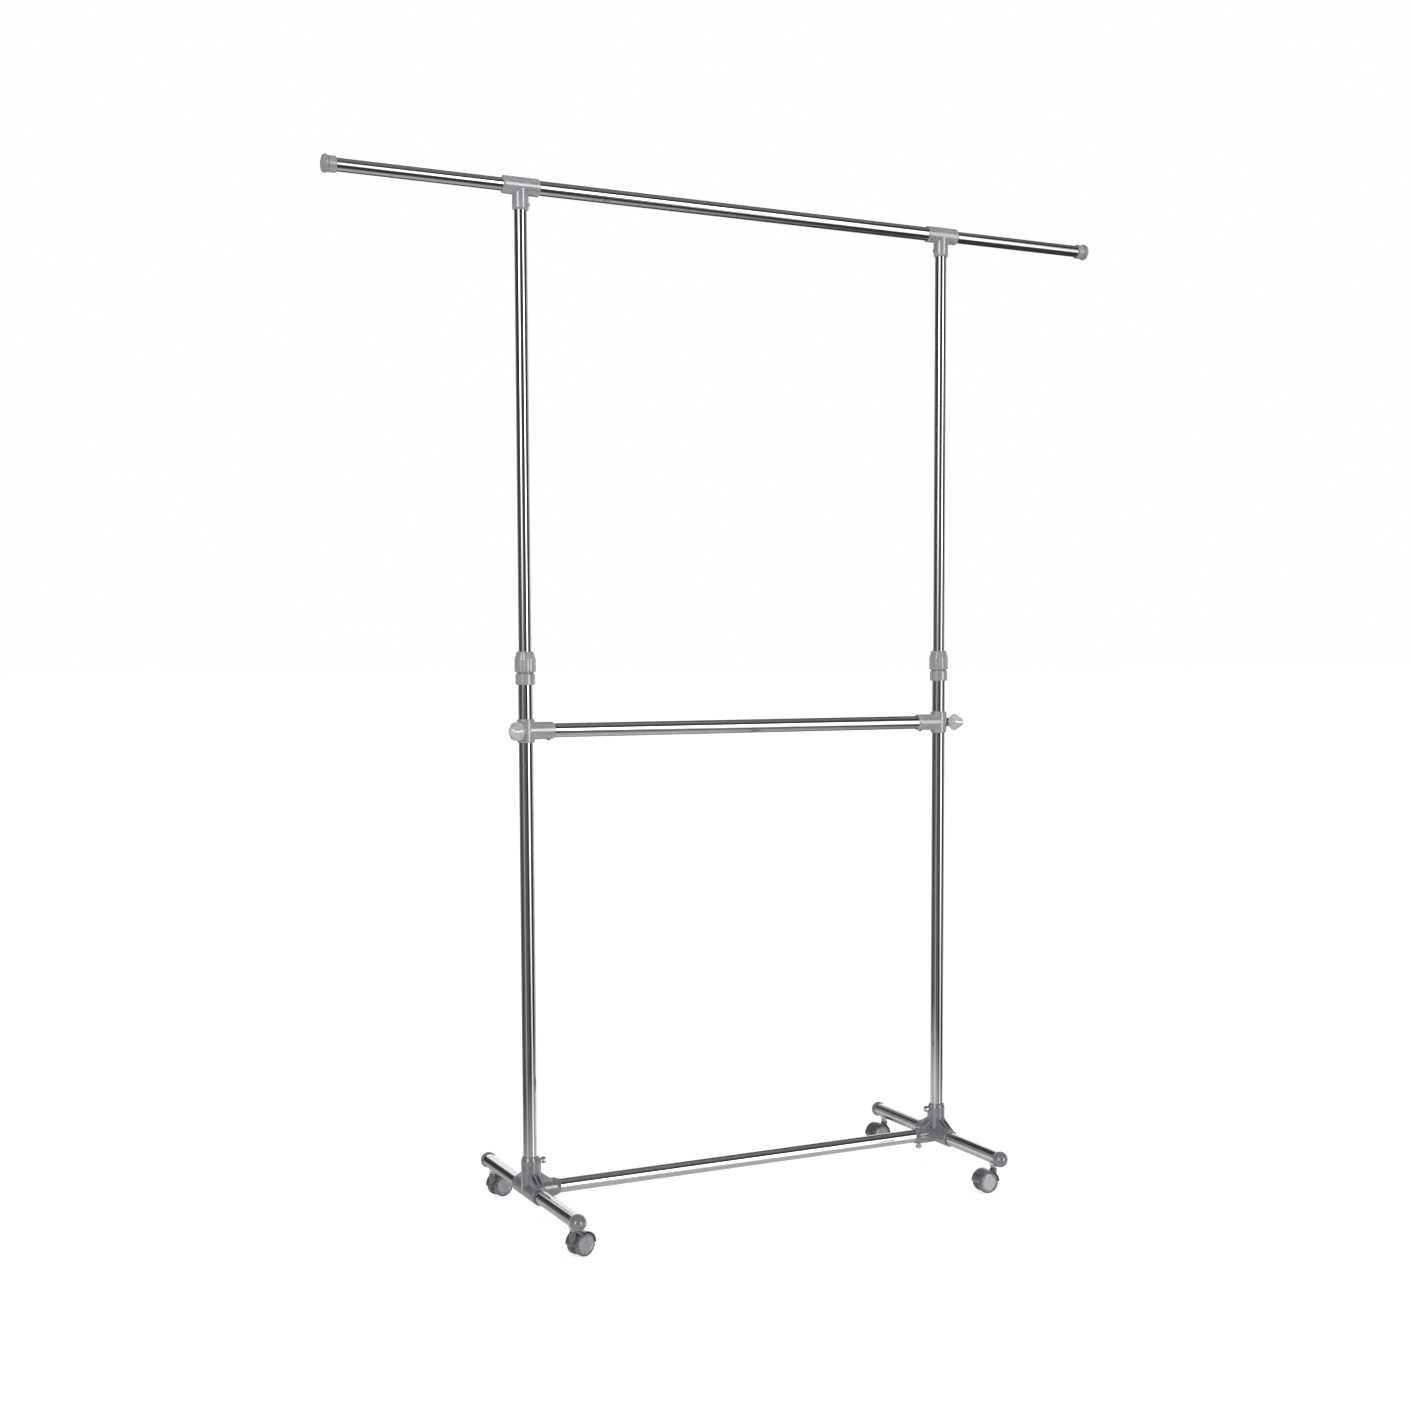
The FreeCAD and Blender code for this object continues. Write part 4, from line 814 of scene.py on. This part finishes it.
# Wheels, with heights outwards from the caster's middle: the axle hole's radius and end, the hub's radius
# and inner face, the web's inner face, radii of the disc, the tyre's seat and the tread, the tyre's faces
AXLE_HOLE = 2.05
AXLE_HOLE_END = 13.7
HUB_RADIUS = 4.6
HUB_FACE = 4.2
WEB_FACE = 7.0
DISC_RADIUS = 17.4
TYRE_SEAT = 17.45
TYRE_RADIUS = 20.0
TYRE_INNER = 4.4
TYRE_OUTER = 14.0


def caster_wheel(corner, letter, sign):
    """A wheel: a disc with a rim ring, and its tyre."""
    node = f"{corner}_wheel_{letter}"
    body = f"{node}_body"
    place = joint_frame(f"{node}_spin", sign)
    disc = [(0, AXLE_HOLE_END, 0), (AXLE_HOLE, AXLE_HOLE_END, 0.1), (AXLE_HOLE, HUB_FACE, 0.2),
            (HUB_RADIUS, HUB_FACE, 0.4), (HUB_RADIUS, WEB_FACE, 0.4), (15.6, WEB_FACE, 0.6),
            (15.8, TYRE_INNER, 0.3), (DISC_RADIUS, TYRE_INNER, 0.3), (DISC_RADIUS, TYRE_OUTER, 0.5),
            (16.4, 14.2, 0.3), (16.1, 13.1, 0.3), (15.3, 13.1, 0.3), (15.1, 14.5, 0.5),
            (13.6, 14.8, 0.6), (12.6, 14.4, 0.6), (0, 14.6, 0)]
    turned_piece(f"{node}_disc", [(disc, place, False, None)], MATERIALS["wheel"], body, [node])
    tyre = [(TYRE_SEAT, TYRE_INNER, 0.2), (19.0, TYRE_INNER, 0.8), (TYRE_RADIUS, 6.2, 1.2),
            (TYRE_RADIUS, 12.4, 1.2), (19.0, TYRE_OUTER, 0.8), (TYRE_SEAT, TYRE_OUTER, 0.2)]
    turned_piece(f"{node}_tyre", [(tyre, place, True, None)], MATERIALS["tyre"], body, [node])


def make_casters():
    """A stem and twin wheels at each corner; the hoods are among the mouldings."""
    for corner in CORNERS:
        caster_stem(corner)
        caster_wheel(corner, "a", 1)
        caster_wheel(corner, "b", -1)


# ---- Pieces that keep their CAD shape ----

# The material of each inner piece that keeps its CAD shape
KEPT = {
    "caster_sockets": "nylon",
    "upright_end_plugs": "nylon",
    "rail_guide_bushes": "nylon",
    "left_extension_stop": "nylon",
    "right_extension_stop": "nylon",
    "clamp_inserts": "brass",
    **{f"{corner}_caster_axle": "steel" for corner in CORNERS},
}


def dress_kept_nodes():
    """Give the inner pieces that keep their CAD shape their materials."""
    for node, material in KEPT.items():
        mesh = frame["nodes"][node].data
        mesh.materials.clear()
        mesh.materials.append(MATERIALS[material])


# ---- Studio ----

def make_camera():
    """The camera at the reference view: heading is clockwise from +Y, drop is below the horizon."""
    heading, drop, roll = (math.radians(v) for v in (CAMERA_HEADING, CAMERA_DROP, CAMERA_ROLL))
    forward = Vector((math.sin(heading) * math.cos(drop), math.cos(heading) * math.cos(drop),
                      -math.sin(drop)))
    flat_right = Vector((math.cos(heading), -math.sin(heading), 0))
    flat_up = flat_right.cross(forward)
    right = math.cos(roll) * flat_right + math.sin(roll) * flat_up
    up = right.cross(forward)
    turn = Matrix((right, up, -forward)).transposed().to_4x4()
    data = bpy.data.cameras.new("camera")
    data.lens = CAMERA_LENS
    data.sensor_width = CAMERA_SENSOR
    data.shift_x, data.shift_y = CAMERA_SHIFT
    camera = bpy.data.objects.new("camera", data)
    bpy.context.scene.collection.objects.link(camera)
    camera.matrix_world = Matrix.Translation(CAMERA_PLACE) @ turn
    bpy.context.scene.camera = camera


# The studio that shiny surfaces mirror. Each light by compass: bearing clockwise from +Y, half width,
# lowest and highest elevation, all in degrees, then its brightness
STUDIO = {
    "left_softbox": (233, 15, 3, 32, 1.1),
    "left_lamp": (235, 6, 4, 28, 3.4),
    "left_wall": (240, 45, -60, 3, 0.07),
    "left_strip": (243, 9, -25, 3, 0.3),
    "right_softbox": (156, 13, -8, 26, 1.0),
    "right_lamp": (156, 6, -4, 22, 3.4),
    "right_strip": (148, 6, -24, -4, 1.3),
    "far_window": (85, 9, -30, 30, 0.7),
    "backdrop": (27, 38, -18, 30, 0.9),
    "side_wall": (-38, 10, -40, 24, 0.22),
    "ceiling": (0, 200, 52, 100, 0.13),
}
# Brightness and tint of the studio between its lights, and how softly each light ends, in degrees
STUDIO_BASE = 0.04
STUDIO_TINT = (1.0, 0.985, 0.99)
SOFT_EDGE = 6.0
# The soft dome that lights everything else: brightness of its underside and its top, and the heights
# between which it changes, from -1 to 1
DOME_LOW = 0.55
DOME_TOP = 1.25
DOME_RISE = (-0.4, 0.9)
# The bearing of the dome's brighter side, in degrees, how much light is left behind the object and how
# much comes from that side, and the cosines between which it changes
DOME_FACING = 209
DOME_BEHIND = 0.6
DOME_BEFORE = 1.35
DOME_TURN = (-0.6, 1.0)
WHITE = (1.0, 1.0, 1.0)
# The floor: half its size in metres, its tones, its own glow, and how far below the wheels it lies
FLOOR_SIZE = 60.0
FLOOR_DARK = (0.38, 0.38, 0.38)
FLOOR_LIGHT = (0.4, 0.4, 0.4)
FLOOR_GLOW = 0.72
FLOOR_DROP = 0.0005
# The white paper under the rack, which pales what shiny surfaces mirror: the radii between which it
# fades out, its brightness, and how far below the wheels it lies
PAPER_FADE = (0.2, 1.5)
PAPER_GLOW = 0.42
PAPER_DROP = 0.0003


def soft_box(nodes, bearing, height, centre, half, low, high, power):
    """Brightness of one light of the studio towards a bearing and a height."""
    edge = math.radians(SOFT_EDGE)
    centre, half, low, high = (math.radians(v) for v in (centre, half, low, high))
    off_centre = nodes.math("WRAP", nodes.math("SUBTRACT", bearing, centre), math.pi, -math.pi)
    across = nodes.spread(nodes.math("ABSOLUTE", off_centre), half - edge, half + edge, 1.0, 0.0)
    upward = nodes.math("MULTIPLY", nodes.spread(height, low - edge, low + edge),
                        nodes.spread(height, high - edge, high + edge, 1.0, 0.0))
    return nodes.math("MULTIPLY", nodes.math("MULTIPLY", across, upward), power)


def background(nodes, strength, color):
    """A background shader whose strength is a number or an output."""
    node = nodes.add("ShaderNodeBackground")
    node.inputs["Color"].default_value = (*color, 1)
    if isinstance(strength, (int, float)):
        node.inputs["Strength"].default_value = strength
    else:
        nodes.link(strength, node.inputs["Strength"])
    return node.outputs[0]


def choose(nodes, factor, low, high):
    """One of two shaders: the high one for rays of a kind, the low one for the rest."""
    node = nodes.add("ShaderNodeMixShader")
    nodes.link(factor, node.inputs["Fac"])
    nodes.link(low, node.inputs[1])
    nodes.link(high, node.inputs[2])
    return node.outputs[0]


def make_world():
    """White behind, a soft dome for light, and the studio that shiny surfaces mirror."""
    world = bpy.data.worlds.new("studio")
    bpy.context.scene.world = world
    world.use_nodes = True
    nodes = Nodes(world.node_tree)
    direction = nodes.add("ShaderNodeSeparateXYZ")
    nodes.link(nodes.add("ShaderNodeTexCoord").outputs["Generated"], direction.inputs[0])
    x, y, z = direction.outputs
    bearing = nodes.math("ARCTAN2", x, y)
    height = nodes.math("ARCSINE", z)
    mirrored = STUDIO_BASE
    for light in STUDIO.values():
        mirrored = nodes.math("ADD", soft_box(nodes, bearing, height, *light), mirrored)
    facing = nodes.math("COSINE", nodes.math("SUBTRACT", bearing, math.radians(DOME_FACING)))
    dome = nodes.math("MULTIPLY", nodes.spread(z, *DOME_RISE, DOME_LOW, DOME_TOP),
                      nodes.spread(facing, *DOME_TURN, DOME_BEHIND, DOME_BEFORE))
    rays = nodes.add("ShaderNodeLightPath").outputs
    lit = choose(nodes, rays["Is Glossy Ray"], background(nodes, dome, WHITE),
                 background(nodes, mirrored, STUDIO_TINT))
    seen = choose(nodes, rays["Is Camera Ray"], lit, background(nodes, 1.0, WHITE))
    output = nodes.add("ShaderNodeOutputWorld")
    nodes.link(seen, output.inputs["Surface"])


def flat_sheet(name, bm, material, drop):
    """Lay a flat mesh a little below the wheels."""
    mesh = bpy.data.meshes.new(name)
    bm.to_mesh(mesh)
    bm.free()
    mesh.materials.append(material)
    sheet = bpy.data.objects.new(name, mesh)
    bpy.context.scene.collection.objects.link(sheet)
    sheet.location.z = -drop
    return sheet


def make_floor():
    """A pale floor that runs out of sight and takes only a faint shadow."""
    material, nodes, shader, place = new_material("floor_paper")
    tone = nodes.noise(place, scale=2.0, detail=3.0)
    nodes.link(nodes.mix(tone, FLOOR_DARK, FLOOR_LIGHT), shader.inputs["Base Color"])
    shader.inputs["Roughness"].default_value = 0.9
    shader.inputs["Specular IOR Level"].default_value = 0.0
    shader.inputs["Emission Color"].default_value = (*WHITE, 1)
    shader.inputs["Emission Strength"].default_value = FLOOR_GLOW
    bm = bmesh.new()
    bmesh.ops.create_grid(bm, x_segments=2, y_segments=2, size=FLOOR_SIZE)
    floor = flat_sheet("floor", bm, material, FLOOR_DROP)
    floor.visible_glossy = False


def make_paper():
    """A glow round the rack, laid over what reflections show of the studio and seen nowhere else."""
    material = bpy.data.materials.new("paper_glow")
    material.use_nodes = True
    nodes = Nodes(material.node_tree)
    distance = nodes.add("ShaderNodeVectorMath", operation="LENGTH")
    nodes.link(nodes.add("ShaderNodeTexCoord").outputs["Object"], distance.inputs[0])
    glow = nodes.spread(distance.outputs["Value"], *PAPER_FADE, PAPER_GLOW, 0.0)
    light = nodes.add("ShaderNodeEmission")
    nodes.link(glow, light.inputs["Strength"])
    both = nodes.add("ShaderNodeAddShader")
    nodes.link(light.outputs[0], both.inputs[0])
    nodes.link(nodes.add("ShaderNodeBsdfTransparent").outputs[0], both.inputs[1])
    output = nodes.add("ShaderNodeOutputMaterial")
    nodes.link(both.outputs[0], output.inputs["Surface"])
    bm = bmesh.new()
    bmesh.ops.create_circle(bm, cap_ends=True, segments=64, radius=PAPER_FADE[1])
    paper = flat_sheet("paper", bm, material, PAPER_DROP)
    paper.visible_camera = False
    paper.visible_diffuse = False
    paper.visible_shadow = False


def main():
    make_camera()
    make_world()
    make_floor()
    make_paper()
    bpy.context.scene.view_settings.view_transform = "Standard"
    make_tubes()
    make_mouldings()
    for side, sign in SIDES.items():
        lock_ring(side)
        lock_nut(side)
        end_cap(side, sign)
        foot_caps(side)
        clamp_knob(side)
        clamp_stud(side)
    make_screws()
    make_casters()
    dress_kept_nodes()


main()
